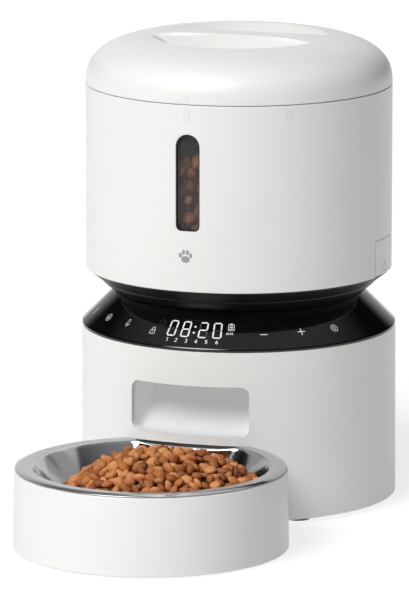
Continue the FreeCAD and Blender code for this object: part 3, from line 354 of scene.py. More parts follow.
def finish_of(name, base, roughness, **sockets):
    """A material with its shader's own sockets set, and that shader."""
    material = bpy.data.materials.new(name)
    material.use_nodes = True
    shader = material.node_tree.nodes["Principled BSDF"]
    shader.inputs["Base Color"].default_value = (*base, 1)
    shader.inputs["Roughness"].default_value = roughness
    for key, value in sockets.items():
        shader.inputs[key.replace("_", " ")].default_value = value
    return material, shader


def wire(material, shader, links):
    """Link sockets to the shader's inputs."""
    for key, socket in links.items():
        material.node_tree.links.new(socket, shader.inputs[key])


def ramp(material, factor, stops):
    """Colour ramp with stops of (place, linear colour)."""
    node = add(material, "ShaderNodeValToRGB", links={"Fac": factor})
    elements = node.color_ramp.elements
    while len(elements) < len(stops):
        elements.new(0.5)
    for element, (place, tone) in zip(elements, stops):
        element.position = place
        element.color = (*tone, 1)
    return node.outputs["Color"]


def shade(tone, factor):
    """A linear colour made darker or lighter by a factor."""
    return tuple(min(1.0, c * factor) for c in tone)


def grain(material, shader, spacing, height, spread, base=None, change=0.0):
    """Fine surface grain: noise whose cells are spacing wide, as bump and a change of roughness and tone."""
    where = add(material, "ShaderNodeTexCoord").outputs["Object"]
    noise = add(material, "ShaderNodeTexNoise", {"Scale": 1 / spacing, "Detail": 3.0}, {"Vector": where})
    rough = shader.inputs["Roughness"].default_value
    spread_node = add(material, "ShaderNodeMapRange", {"To Min": rough - spread, "To Max": rough + spread},
                      {"Value": noise.outputs["Fac"]})
    bump = add(material, "ShaderNodeBump", {"Strength": 0.35, "Distance": height},
               {"Height": noise.outputs["Fac"]})
    wire(material, shader, {"Roughness": spread_node.outputs["Result"], "Normal": bump.outputs["Normal"]})
    if base is not None:
        broad = add(material, "ShaderNodeTexNoise", {"Scale": 1 / (spacing * 60), "Detail": 2.0},
                    {"Vector": where})
        tone = ramp(material, broad.outputs["Fac"], [(0.3, shade(base, 1 - change)), (0.7, base)])
        wire(material, shader, {"Base Color": tone})


def satin_abs(name, base, roughness=0.36, coat=0.0):
    """Injection moulded ABS from a lightly blasted tool: an even satin gloss with a 0.4 mm grain."""
    material, shader = finish_of(name, base, roughness, IOR=1.53, Coat_Weight=coat, Coat_Roughness=0.2)
    grain(material, shader, 0.4 * MM, 0.006 * MM, 0.04, base, 0.015)
    return material


def glowing_abs_painted_light(name, base):
    """Thin white ABS that a little light passes through: a satin surface with a faint even glow."""
    material, shader = finish_of(name, base, 0.42, IOR=1.53, Emission_Color=(1, 1, 1, 1),
                                 Emission_Strength=0.24)
    grain(material, shader, 0.4 * MM, 0.006 * MM, 0.04)
    return material


def gloss_panel(base):
    """Moulded polycarbonate with a polished face: deep black under a clear, slightly soft reflection."""
    material, shader = finish_of("polished_polycarbonate_black", base, 0.09, IOR=1.585)
    grain(material, shader, 0.6 * MM, 0.001 * MM, 0.01)
    return material


def spun_steel(base):
    """Stainless steel pressed and spun smooth: fine lines run round the bowl's axis, 0.5 mm apart.

    The lines are finer on a real bowl and are drawn as coarse as they need to show.
    """
    material, shader = finish_of("spun_stainless_steel", base, 0.11, Metallic=1.0, Anisotropic=0.3)
    where = add(material, "ShaderNodeTexCoord").outputs["Object"]
    centred = add(material, "ShaderNodeMapping", {"Location": (0, -BOWL_Y, 0)}, {"Vector": where})
    flat = add(material, "ShaderNodeVectorMath", {"operation": "MULTIPLY"}, {0: centred.outputs["Vector"]})
    flat.inputs[1].default_value = (1, 1, 0)
    out = add(material, "ShaderNodeVectorMath", {"operation": "LENGTH"}, {0: flat.outputs["Vector"]})
    lines = add(material, "ShaderNodeTexNoise", {"noise_dimensions": "1D", "Scale": 1 / (0.5 * MM),
                                                 "Detail": 2.0}, {"W": out.outputs["Value"]})
    spread = add(material, "ShaderNodeMapRange", {"To Min": 0.07, "To Max": 0.15},
                 {"Value": lines.outputs["Fac"]})
    bump = add(material, "ShaderNodeBump", {"Strength": 0.12, "Distance": 0.004 * MM},
               {"Height": lines.outputs["Fac"]})
    wire(material, shader, {"Roughness": spread.outputs["Result"], "Normal": bump.outputs["Normal"]})
    return material


def baked_kibble(base):
    """Extruded and baked dry food: matt, pitted with 1.1 mm pores, each piece a little lighter or darker."""
    material, shader = finish_of("baked_kibble", base, 0.72, IOR=1.45)
    where = add(material, "ShaderNodeTexCoord").outputs["Object"]
    tone = add(material, "ShaderNodeAttribute", {"attribute_name": "tone"}).outputs["Fac"]
    pores = add(material, "ShaderNodeTexNoise", {"Scale": 1 / (1.1 * MM), "Detail": 4.0}, {"Vector": where})
    mixed = add(material, "ShaderNodeMath", {"operation": "MULTIPLY_ADD", 1: 0.55}, {0: pores.outputs["Fac"],
                                                                                     2: tone})
    # The pores also set the colour, darker in the pits and lighter on the bumps: partly the food's own
    # mottling, partly painted shade and painted highlight.
    mottle_and_painted_shade = ramp(material, mixed.outputs["Value"], [(0.15, shade(base, 0.3)), (0.55, base),
                                                   (1.0, linear("D0925A"))])
    bump = add(material, "ShaderNodeBump", {"Strength": 0.7, "Distance": 0.25 * MM},
               {"Height": pores.outputs["Fac"]})
    wire(material, shader, {"Base Color": mottle_and_painted_shade, "Normal": bump.outputs["Normal"]})
    return material


def smoked_panel():
    """Smoke tinted polycarbonate: dark grey in itself, with what lies close behind it showing through."""
    material, shader = finish_of("smoked_polycarbonate", linear("484849"), 0.12, IOR=1.585, Alpha=0.26)
    grain(material, shader, 0.8 * MM, 0.001 * MM, 0.01)
    return material


def plain_metal(name, base, roughness, spacing):
    """Drawn or plated metal with a fine even grain."""
    material, shader = finish_of(name, base, roughness, Metallic=1.0)
    grain(material, shader, spacing, 0.003 * MM, 0.06, base, 0.06)
    return material


def soft_rubber(name, base, roughness):
    """Moulded rubber or silicone: matt, with a fine tooth from the mould."""
    material, shader = finish_of(name, base, roughness, IOR=1.45, Sheen_Weight=0.1)
    grain(material, shader, 0.5 * MM, 0.02 * MM, 0.05, base, 0.05)
    return material


def circuit_board():
    """Glass epoxy board under green solder resist, with tracks 0.6 mm apart just visible."""
    base = linear("1D5B36")
    material, shader = finish_of("solder_resist_board", base, 0.35, IOR=1.5)
    where = add(material, "ShaderNodeTexCoord").outputs["Object"]
    tracks = add(material, "ShaderNodeTexBrick", {"Scale": 1 / (2.4 * MM), "Mortar Size": 0.05,
                                                  "Color1": (*base, 1), "Color2": (*shade(base, 0.8), 1),
                                                  "Mortar": (*shade(base, 1.5), 1)}, {"Vector": where})
    wire(material, shader, {"Base Color": tracks.outputs["Color"]})
    return material


def lit_symbol(name, code, glow):
    """White light from a diode behind a clear window in the black panel."""
    return finish_of(name, shade(linear(code), 0.3), 0.4, Emission_Color=(*linear(code), 1),
                     Emission_Strength=glow)[0]


def printed(name, code):
    """Pad printed ink: thin, matt and even."""
    material, shader = finish_of(name, linear(code), 0.5)
    grain(material, shader, 0.3 * MM, 0.002 * MM, 0.05)
    return material


def make_materials(finishes):
    white = tuple(finishes.abs_white)
    return {
        "white": satin_abs("satin_abs_white", white),
        "inner": satin_abs("moulded_abs_inner", shade(white, 0.92), 0.5),
        # The chute's grey base and faint glow are painted light that brightens its inside.
        "chute": glowing_abs_painted_light("moulded_abs_chute_painted_glow", linear("A8A8A8")),
        "ring": gloss_panel(tuple(finishes.ring_black)),
        "skirt": satin_abs("satin_abs_black", tuple(finishes.skirt_black), 0.42),
        "steel": spun_steel(tuple(finishes.steel)),
        "food": baked_kibble(tuple(finishes.food)),
        "window": smoked_panel(),
        "rubber": soft_rubber("moulded_rubber_grey", linear("3A3B3D"), 0.7),
        "silicone": soft_rubber("moulded_silicone", linear("C9CBCC"), 0.55),
        "acetal": satin_abs("moulded_acetal_grey", linear("B4B7BA"), 0.42),
        "plated": plain_metal("zinc_plated_steel", linear("B9BCC0"), 0.3, 0.4 * MM),
        "can": plain_metal("drawn_steel_can", linear("9EA1A5"), 0.35, 0.5 * MM),
        "board": circuit_board(),
        "component": satin_abs("moulded_epoxy_black", linear("1B1B1D"), 0.55),
        "cell": satin_abs("printed_cell_jacket", linear("2D3F55"), 0.3),
        "cone": soft_rubber("pressed_paper_cone", linear("202022"), 0.8),
        "sachet": soft_rubber("woven_desiccant_sachet", linear("E4E2DA"), 0.8),
        "lit": lit_symbol("lit_symbol_white", "F4F6F8", 0.62),
        "dim": lit_symbol("unlit_segment", "1C1C1D", 0.0),
        "print": printed("pad_print_grey", "8E8F8E"),
        # Turn marks: flat grey strips whose grey is the painted shade of a moulded groove.
        "groove": printed("mould_line_painted_shade", "C2C2C1"),
    }


NODE_FINISH = {
    "white": ["base_floor", "battery_door"],
    "inner": ["deck", "food_tank", "tank_funnel", "feed_chamber", "lid_liner", "desiccant_tray",
              "desiccant_cover", "feed_baffle", "battery_box", "board_spacers", "hopper_casing",
              "base_casing", "bowl_holder", "lid_dome", "latch_right", "latch_left"],
    "chute": ["chute"],
    "ring": ["control_ring"],
    "skirt": ["hopper_skirt", "hopper_window"],
    "steel": ["steel_bowl"],
    "rubber": ["rubber_feet", "holder_pads", "baffle_wipers"],
    "silicone": ["lid_seal", "stirrer"],
    "acetal": ["portion_wheel", "drive_gear", "idler_gear", "gearbox_housing", "gearbox_cover"],
    "plated": ["floor_screws", "deck_screws", "battery_contacts", "battery_springs", "idler_pin",
               "motor_pinion"],
    "can": ["motor", "speaker"],
    "board": ["touch_board", "main_board"],
    "component": ["display_module", "microphone", "board_components", "power_inlet", "food_sensors"],
    "cell": ["battery_cells"],
    "cone": ["speaker_cone"],
    "sachet": ["desiccant_pack"],
}
MATERIALS = {}


# ---------------------------------------------------------------- lid
def dome_height(radius):
    """Height of the dome at a radius: (r / R)^4.2 + (h / rise)^2.5 = 1."""
    share = np.clip(radius / HOPPER_R, 0, 1)
    return LID_LOW + (LID_TOP - LID_LOW) * (1 - share ** DOME_ROUND) ** (1 / DOME_SHOULDER)


def bar_half_width(x, lid):
    """The grip bar's sides are arcs through its middle and end half widths."""
    end = lid.grip_radius + 6 * MM
    rise = lid.bar_end - lid.bar_middle
    radius = (end ** 2 + rise ** 2) / (2 * rise)
    return lid.bar_middle + radius - np.sqrt(radius ** 2 - x ** 2)


def lid_height(x, y, lid):
    """Dome less a ball-shaped hollow with a soft edge, except under the bar, whose sides are steep."""
    radius = np.hypot(x, y)
    rim = LID_TOP - 1.4 * MM
    ball = (lid.grip_radius ** 2 + lid.grip_depth ** 2) / (2 * lid.grip_depth)
    hollow = rim + ball - lid.grip_depth - np.sqrt(np.maximum(ball ** 2 - radius ** 2, 0))
    dome = dome_height(radius)
    below = dome - hollow
    soft = 0.9 * MM
    depth = 0.5 * (below + np.sqrt(below ** 2 + soft ** 2))
    far = np.clip((radius - lid.grip_radius) / (6 * MM), 0, 1)
    depth = depth * (1 - eased(far))
    side = np.clip((np.abs(y) - bar_half_width(x, lid) + 0.6 * MM) / (2.2 * MM), 0, 1)
    return dome - depth * eased(side)


def lid_surface(lid, shrink, steps):
    """Top of the lid in patches whose grid lines follow the bar's sides and the hollow's rim."""
    reach = lid.grip_radius + 4 * MM
    a = stations((-90 * DEG, 90 * DEG, 2 * steps + 1))
    x = reach * np.sin(a)
    rim_y = np.sqrt(np.maximum(reach ** 2 - x ** 2, 0))
    edge = np.minimum(bar_half_width(x, lid), rim_y)
    share = stations((0, 0.12, steps // 5), (0.12, 0.8, steps // 3), (0.8, 1, steps // 5))[:, None]
    across = np.linspace(-1, 1, steps // 3)[:, None]
    away = edge + (rim_y - edge) * share
    parts = []
    for y in (away, -away, across * edge):
        flat_x = np.broadcast_to(x, y.shape)
        parts.append(grid(np.stack([flat_x, y + AXIS_Y, lid_height(flat_x, y, lid) - shrink], -1)))
    angle = np.concatenate([a, 180 * DEG - a[-2:0:-1]])
    out = HOPPER_R - shrink
    bend = np.linspace(0, math.pi / 2, steps)
    radius = reach + (out - reach) * np.sin(bend)
    radius[-1] = out
    scale = HOPPER_R / out
    ring = radius[:, None] * np.ones_like(angle)
    flat_x = ring * np.sin(angle)
    flat_y = -ring * np.cos(angle)
    height = lid_height(flat_x, flat_y, lid)
    plain = dome_height(ring * scale)
    height = np.where(ring > lid.grip_radius + 8 * MM, plain, height) - shrink
    height[-1] = LID_LOW
    parts.append(grid(np.stack([flat_x, flat_y + AXIS_Y, height], -1), wrap_columns=True))
    return parts, angle


def make_lid(props):
    """Lid: the dome with its grip, the same surface again a wall lower, and the foot between them."""
    lid = props.lid
    outside, angle = lid_surface(lid, 0.0, 72)
    inside, _ = lid_surface(lid, lid.wall, 72)
    foot = np.array([[HOPPER_R, LID_LOW], [HOPPER_R - lid.wall, LID_LOW]])
    rim = polar(foot[:, 0][:, None], angle[None, :], foot[:, 1][:, None])
    piece("lid_shell", outside + inside + [grid(rim, wrap_columns=True)], "lid",
          MATERIALS["white"], ["lid_dome"])
    # The turn mark is a flat grey strip: painted shade of a groove.
    piece("lid_turn_mark", [mark_line(0, LID_LOW + 0.6 * MM, LID_LOW + 4.8 * MM)], "lid",
          MATERIALS["groove"])


def ribbon(line, width, closed, place):
    """A flat strip of a width along a line of (u, v) points, put on a surface by place(u, v)."""
    line = np.asarray(line, float)
    if closed:
        ahead = np.roll(line, -1, 0) - np.roll(line, 1, 0)
    else:
        ahead = np.gradient(line, axis=0)
    ahead = ahead / np.maximum(np.linalg.norm(ahead, axis=1, keepdims=True), 1e-12)
    across = np.stack([-ahead[:, 1], ahead[:, 0]], 1) * width / 2
    both = np.stack([line - across, line + across], 0)
    return grid(place(both[..., 0], both[..., 1]), wrap_columns=closed)


def mark_line(angle, low, high):
    """Outline of a small upright capsule on the casing or the lid's edge."""
    line = outline(1.05 * MM, low, high, 1.0 * MM, 1.0 * MM, 8)

    def place(u, v):
        height = np.clip((v - LID_LOW) / (LID_TOP - LID_LOW), 0, 1)
        dome = HOPPER_R * (1 - height ** DOME_SHOULDER) ** (1 / DOME_ROUND)
        return polar(np.where(v > LID_LOW, dome, HOPPER_R) + LIFT, angle + u / HOPPER_R, v)

    return ribbon(line, 0.3 * MM, True, place)


# ---------------------------------------------------------------- hopper
def hopper_place(u, v):
    """Angle and height on the casing's cylinder."""
    return polar(HOPPER_R, u, v)


def make_hopper(props):
    """Hopper casing: a cylinder wall with the window and the latch notches cut out, and the window itself.

    The window is a panel on a smaller cylinder, inside a dark edge of four rings joined up.
    """
    sizes = props.hopper
    half = WINDOW[1].x + sizes.window_margin
    low = WINDOW[0].z - sizes.window_margin
    high = WINDOW[1].z + sizes.window_margin
    border = 2.5 * MM
    window_line = outline(half, low, high, sizes.window_corner, half - 1e-6)
    window_line[:, 0] = np.arcsin(window_line[:, 0] / HOPPER_R)
    frame_u = (half + border) / HOPPER_R
    notch = LATCH_HALF + LATCH_GAP / HOPPER_R
    notch_top = HOPPER_LOW + sizes.latch_top + 0.1 * MM
    quarter = 90 * DEG
    columns = stations((SEAM, SEAM + 2 * math.pi, 145), (-frame_u, frame_u, 25),
                       (quarter - notch, quarter + notch, 9), (-quarter - notch, notch - quarter, 9))
    frame_low = low - border
    frame_high = high + border
    rows = stations((HOPPER_LOW, notch_top, 5), (notch_top, frame_low, 3), (frame_low, frame_high, 42),
                    (frame_high, HOPPER_TOP, 4))
    holes = [(-frame_u, frame_u, frame_low, frame_high, window_line),
             (quarter - notch, quarter + notch, HOPPER_LOW, notch_top, None),
             (-quarter - notch, notch - quarter, HOPPER_LOW, notch_top, None)]
    piece("hopper_shell", [wall(columns, rows, hopper_place, holes)], "hopper",
          MATERIALS["white"], ["hopper_casing"], thickness=props.lid.wall, bevel=0.35 * MM, flip=(0, AXIS_Y))
    # The turn marks are flat grey strips: painted shade of grooves.
    marks = [mark_line(angle, HOPPER_TOP - 8.7 * MM, HOPPER_TOP - 3.0 * MM) for angle in (0, TURN)]
    piece("hopper_turn_marks", marks, "hopper", MATERIALS["groove"])

    edge = 0.5 * MM
    clear = outline(half - edge, low + edge, high - edge, sizes.window_corner - edge, half - edge - 1e-6)
    panel_r = HOPPER_R - 1.6 * MM

    def pressed(u, v, radius):
        """Points at a side distance and a height on an upright cylinder about the axis."""
        return np.stack([u, AXIS_Y - np.sqrt(radius ** 2 - u ** 2), v], -1)

    shrink = np.linspace(1, 0.02, 6)[:, None, None]
    middle = np.array([0, (low + high) / 2])
    spread = middle + (clear - middle) * np.concatenate([shrink, shrink], 2)
    panel = grid(pressed(spread[..., 0], spread[..., 1], panel_r), wrap_columns=True)
    hub = np.broadcast_to(middle, (1, len(clear), 2))
    centre = np.concatenate([pressed(line[..., 0], line[..., 1], panel_r) for line in (spread[-1:], hub)])
    piece("window_panel", [panel, grid(centre, wrap_columns=True)], "hopper",
          MATERIALS["window"], ["hopper_window"], thickness=1.2 * MM, bevel=0.2 * MM, flip=(0, AXIS_Y))

    gap = 0.05 * MM
    frame_line = outline(half - gap, low + gap, high - gap, sizes.window_corner, half - 1e-6)
    rings = []
    for recess, inset in ((0.1, 0.0), (2.4, 0.0), (2.4, 0.5), (0.1, 0.5)):
        line = frame_line - np.sign(frame_line - middle) * inset * MM
        rings.append(pressed(line[:, 0], line[:, 1], HOPPER_R - recess * MM))
    piece("window_edge", [grid(np.array(rings), wrap_rows=True, wrap_columns=True)], "hopper",
          MATERIALS["skirt"])


def make_skirt(props):
    """Sloping black underside of the hopper with a shallow step half way, and its collar."""
    edge = 84.0 * MM
    band = 82.9 * MM
    sheet = 2.0 * MM
    neck = RING_R - 17.5 * MM
    slope = [(neck, SKIRT_LOW), (neck + 6.0 * MM, SKIRT_LOW + 5.0 * MM),
             (neck + 6.5 * MM, SKIRT_LOW + 5.9 * MM), (edge, HOPPER_LOW - 0.7 * MM), (edge, HOPPER_LOW),
             (band, HOPPER_LOW)]
    outside = rounded(slope, 0.5 * MM, 4)
    inside = [(band, HOPPER_LOW), (band, top_of("hopper_skirt")),
              (band - sheet, top_of("hopper_skirt")), (band - sheet, HOPPER_LOW - 0.4 * MM),
              (neck, SKIRT_LOW + 1.8 * MM), (61.0 * MM, SKIRT_LOW + 1.8 * MM), (61.0 * MM, SKIRT_LOW)]
    piece("hopper_skirt_shell", [turned(list(outside) + inside + [(neck, SKIRT_LOW)])], "hopper",
          MATERIALS["skirt"], ["hopper_skirt"])


def make_latches(props):
    """Each latch is a curved tongue flush with the casing and a bent leg that reaches the hook."""
    top = HOPPER_LOW + props.hopper.latch_top
    low = HOPPER_LOW + LATCH_GAP
    columns = np.linspace(-LATCH_HALF, LATCH_HALF, 17)
    rows = np.linspace(low, top, 9)
    leg_line = np.array([(65.0, 109.0), (65.0, 118.0), (65.2, 118.8), (80.5, 133.6), (82.6, 133.6)]) * MM
    path = rounded(leg_line, 1.5 * MM, 4)
    for side, name, body in ((1, "right", "right_latch"), (-1, "left", "left_latch")):
        angle = side * 90 * DEG
        tongue = polar(HOPPER_R, angle + columns[None, :], rows[:, None])
        piece("latch_tongue_" + name, [grid(tongue)], body, MATERIALS["white"],
              ["latch_" + name], thickness=2.0 * MM, bevel=0.3 * MM, flip=(0, AXIS_Y))
        across = np.linspace(-6 * MM, 6 * MM, 3)[None, :]
        leg = np.stack(np.broadcast_arrays(side * path[:, :1], AXIS_Y + across, path[:, 1:]), -1)
        piece("latch_leg_" + name, [grid(leg)], body, MATERIALS["inner"],
              thickness=1.8 * MM, bevel=0.2 * MM, flip=(0, AXIS_Y))

        def place(u, v):
            return polar(HOPPER_R + LIFT, angle + u / HOPPER_R, HOPPER_LOW + v)

        arrow = [(-2.0 * MM, 3.6 * MM), (0.8 * MM, 8.2 * MM), (2.6 * MM, 3.6 * MM)]
        base_line = np.stack([np.linspace(-3.4, 3.4, 5), np.full(5, 2.2)], 1) * MM
        marks = [ribbon(rounded(arrow, 0.4 * MM, 3), 0.45 * MM, False, place),
                 ribbon(base_line, 0.45 * MM, False, place)]
        piece("latch_mark_" + name, marks, body, MATERIALS["print"])


def make_badge(props):
    """Generic paw print: one pad and four toes, printed on the hopper below the window."""

    def place(u, v):
        return polar(HOPPER_R + LIFT, u / HOPPER_R - 0.75 * DEG, 149.3 * MM + v)

    parts = []
    turn = np.linspace(0, 2 * math.pi, 28, endpoint=False)
    spots = [(0.0, -1.6, 2.5, 1.9), (-3.0, 0.6, 0.95, 1.35), (-1.15, 2.3, 0.95, 1.45),
             (1.15, 2.3, 0.95, 1.45), (3.0, 0.6, 0.95, 1.35)]
    for u, v, wide_by, high_by in spots:
        scale = np.array([1.0, 0.5, 0.01])[:, None]
        oval_u = (u + wide_by * np.cos(turn) * scale) * MM
        oval_v = (v + high_by * np.sin(turn) * scale) * MM
        parts.append(grid(place(oval_u, oval_v), wrap_columns=True))
    piece("paw_print", parts, "hopper", MATERIALS["print"])


# ---------------------------------------------------------------- base
def make_ring(props):
    """Control ring: a short upright lip, a straight slope of about 45 degrees and an inner sleeve."""
    lip = RING_LOW + RING_LIP
    neck = RING_R - RING_RUN
    outside = rounded([(RING_R, RING_LOW), (RING_R, lip), (neck, RING_TOP), (neck - 1.6 * MM, RING_TOP),
                       (neck - 1.6 * MM, RING_TOP - 8 * MM)], 0.7 * MM, 5)
    inside = [(neck + 0.3 * MM, RING_TOP - 8 * MM), (neck + 0.3 * MM, RING_TOP - 3.2 * MM),
              (RING_R - 2.6 * MM, lip - 0.4 * MM), (RING_R - 2.6 * MM, RING_LOW)]
    piece("control_panel_ring", [turned(list(outside) + inside + [(RING_R, RING_LOW)], 288)], "base",
          MATERIALS["ring"], ["control_ring"])


def on_slope(angle, radius):
    """A place function for the ring's slope about (angle, radius): u runs round, v up the slope, in mm."""
    lip = RING_LOW + RING_LIP
    rise = RING_TOP - lip
    length = math.hypot(RING_RUN, rise)

    def place(u, v):
        r = radius * MM - v * MM * RING_RUN / length
        z = lip + (RING_R - r) * rise / RING_RUN
        return polar(r + LIFT, angle * DEG + u * MM / (radius * MM), z + 0.04 * MM)

    return place


SEGMENTS = {"0": "abcdef", "2": "abdeg", "8": "abcdefg"}


def segment_bars(place, lit, wide_mm, high_mm, stroke):
    """Seven-segment figure: each bar is a strip pointed at both ends, as (lit bars, unlit bars)."""
    w = wide_mm / 2 - stroke / 2
    h = high_mm / 2 - stroke / 2
    ends = {"a": ((-w, h), (w, h)), "b": ((w, h), (w, 0)), "c": ((w, 0), (w, -h)), "d": ((-w, -h), (w, -h)),
            "e": ((-w, 0), (-w, -h)), "f": ((-w, h), (-w, 0)), "g": ((-w, 0), (w, 0))}
    on = []
    off = []
    for key, (start, end) in ends.items():
        start = np.array(start, float)
        end = np.array(end, float)
        ahead = (end - start) / np.linalg.norm(end - start)
        side = np.array([-ahead[1], ahead[0]]) * stroke / 2
        gap = stroke * 0.16
        tip = stroke * 0.5
        a = start + ahead * gap
        b = end - ahead * gap
        low = np.array([a, a + ahead * tip - side, b - ahead * tip - side, b])
        high = np.array([a, a + ahead * tip + side, b - ahead * tip + side, b])
        both = np.stack([low, high])
        strip = grid(place(both[..., 0], both[..., 1]))
        (on if key in lit else off).append(strip)
    return on, off


def oval(u, v, half_u, half_v, count=20):
    """An ellipse about (u, v)."""
    turn = np.linspace(0, 2 * math.pi, count, endpoint=False)
    return np.stack([u + half_u * np.cos(turn), v + half_v * np.sin(turn)], 1)


def filled(line, place):
    """A flat patch that fills a closed line, as rings that shrink to its middle."""
    middle = line.mean(0)
    share = np.array([1.0, 0.01])[:, None, None]
    both = middle + (line - middle) * share
    return grid(place(both[..., 0], both[..., 1]), wrap_columns=True)


FIGURES = {
    "1": [[(-0.5, 0.7), (0.25, 1.2), (0.25, -1.2)]],
    "2": [[(-0.65, 0.8), (-0.2, 1.2), (0.35, 1.15), (0.6, 0.65), (0.3, 0.1), (-0.65, -1.1), (0.75, -1.1)]],
    "3": [[(-0.6, 1.0), (0.0, 1.25), (0.6, 0.75), (0.1, 0.1), (0.65, -0.5), (0.1, -1.2), (-0.65, -0.95)]],
    "4": [[(0.3, -1.2), (0.3, 1.2), (-0.75, -0.45), (0.8, -0.45)]],
    "5": [[(0.65, 1.15), (-0.45, 1.15), (-0.5, 0.2), (0.2, 0.35), (0.65, -0.35), (0.1, -1.15),
           (-0.65, -0.9)]],
    "6": [[(0.4, 1.2), (-0.45, 0.2), (-0.55, -0.6), (0.0, -1.2), (0.6, -0.65), (0.3, 0.0), (-0.35, -0.1)]],
    "A": [[(-0.8, -0.7), (0.0, 0.75), (0.8, -0.7)], [(-0.5, -0.25), (0.5, -0.25)]],
    "M": [[(-0.85, -0.7), (-0.6, 0.7), (0.0, -0.35), (0.6, 0.7), (0.85, -0.7)]],
}


def written(key, place, du, dv, scale, stroke):
    """The strokes of a figure, scaled and moved by (du, dv) in mm."""
    parts = []
    for line in FIGURES[key]:
        line = rounded(line, 0.12, 2) * scale + np.array([du, dv])
        parts.append(ribbon(line, stroke, False, place))
    return parts


def dash(half, v=0.0):
    """A level dash of three points about the middle."""
    return [(-half, v), (0.0, v), (half, v)]


def frame_of(half, low, high, top_half):
    """A closed four-cornered line from its lower left corner round."""
    return [(-half, low), (half, low), (top_half, high), (-top_half, high), (-half, low)]


def arc(radius, start, stop, count, v=0.0):
    """Part of a circle about (0, v), with its angles in degrees."""
    turn = np.radians(np.linspace(start, stop, count))
    return np.stack([radius * np.cos(turn), v + radius * np.sin(turn)], 1)


# Angle in degrees and radius in mm of each icon, and its strokes: width, whether closed, and line, in mm.
ICONS = (
    (16.2, 77.0, ((0.25, False, rounded(frame_of(1.6, -2.0, 2.0, 1.6), 0.3, 2)),
                  (0.4, False, dash(0.7, 2.4)), (0.4, False, dash(1.0, -1.1)), (0.4, False, dash(1.0)),
                  (0.4, False, dash(1.0, 1.1)))),
    (29.0, 80.4, ((0.42, False, dash(2.1)),)),
    (44.5, 80.1, ((0.42, False, dash(2.2)), (0.42, False, [(0, -2.2), (0, 0), (0, 2.2)]))),
    (59.9, 80.4, ((0.27, False, rounded(arc(2.3, 0, 360, 7), 0.4, 2)), (0.25, True, oval(0, 0, 0.9, 0.9)))),
    (-16.4, 80.9, ((0.25, False, rounded(frame_of(1.5, -2.0, 0.6, 1.5), 0.3, 2)),
                   (0.24, False, rounded([(-0.9, 0.7), (-0.9, 2.3), (0.9, 2.3), (0.9, 0.7)], 0.7, 3)),
                   (0.4, False, [(0.0, -1.1), (0.0, -0.7), (0.0, -0.2)]))),
    (-30.7, 79.8, ((0.22, True, outline(0.75, -0.6, 2.6, 0.7, 0.7, 6)),
                   (0.22, False, arc(1.6, 200, 340, 9, 0.3)),
                   (0.22, False, [(0, -1.3), (0, -1.9), (0, -2.4)]))),
    (-45.0, 79.8, ((0.22, True, oval(0, 0, 2.2, 2.2, 28)),
                   (0.25, False, rounded(frame_of(1.2, -0.1, -1.1, 0.8), 0.25, 2)))),
)
UNLIT_ICON = (-13.6, 76.7, ((0.35, True, oval(0, 0, 1.9, 1.9, 24)),
                            (0.3, False, [(0, 1.2), (0, 0), (0.9, 0)])))
DIGITS = (("0", -11.0), ("8", -3.1), ("2", 6.8), ("0", 14.7))
DIGIT_RADIUS = 78.6
NUMBERS = (("1", -8.72), ("2", -4.97), ("3", -0.93), ("4", 3.0), ("5", 6.91), ("6", 10.93))


def icon(angle, radius, strokes):
    """The strokes of an icon as strips on the ring's slope."""
    place = on_slope(angle, radius)
    return [ribbon(line, width, closed, place) for width, closed, line in strokes]


def make_symbols(props):
    """Lit figures and key symbols, as thin strips that follow the ring's slope."""
    on = []
    off = []
    for key, x in DIGITS:
        place = on_slope(x / DIGIT_RADIUS / DEG, DIGIT_RADIUS)
        lit, unlit = segment_bars(place, SEGMENTS[key], 5.0, 10.4, 0.78)
        on += lit
        off += unlit
    for radius in (77.2, 80.0):
        on.append(filled(oval(0, 0, 0.62, 0.62), on_slope(1.8 / radius / DEG, radius)))
    for key, angle in NUMBERS:
        on += written(key, on_slope(angle, 84.0), 0, 0, 0.95, 0.34)
    for key, u in (("A", -1.0), ("M", 1.1)):
        on += written(key, on_slope(15.5, 79.9), u, 0.0, 0.95, 0.28)
    for entry in ICONS:
        on += icon(*entry)
    on += [filled(oval(u, 0.75, 0.3, 0.3, 10), on_slope(-45.0, 79.8)) for u in (-0.6, 0.6)]
    on += [filled(oval(0.0, -2.2 + step * 0.75, 0.55, 0.22, 8), on_slope(-61.6, 80.4)) for step in range(7)]
    off += icon(*UNLIT_ICON)
    piece("lit_symbols", on, "base", MATERIALS["lit"])
    piece("unlit_segments", off, "base", MATERIALS["dim"])


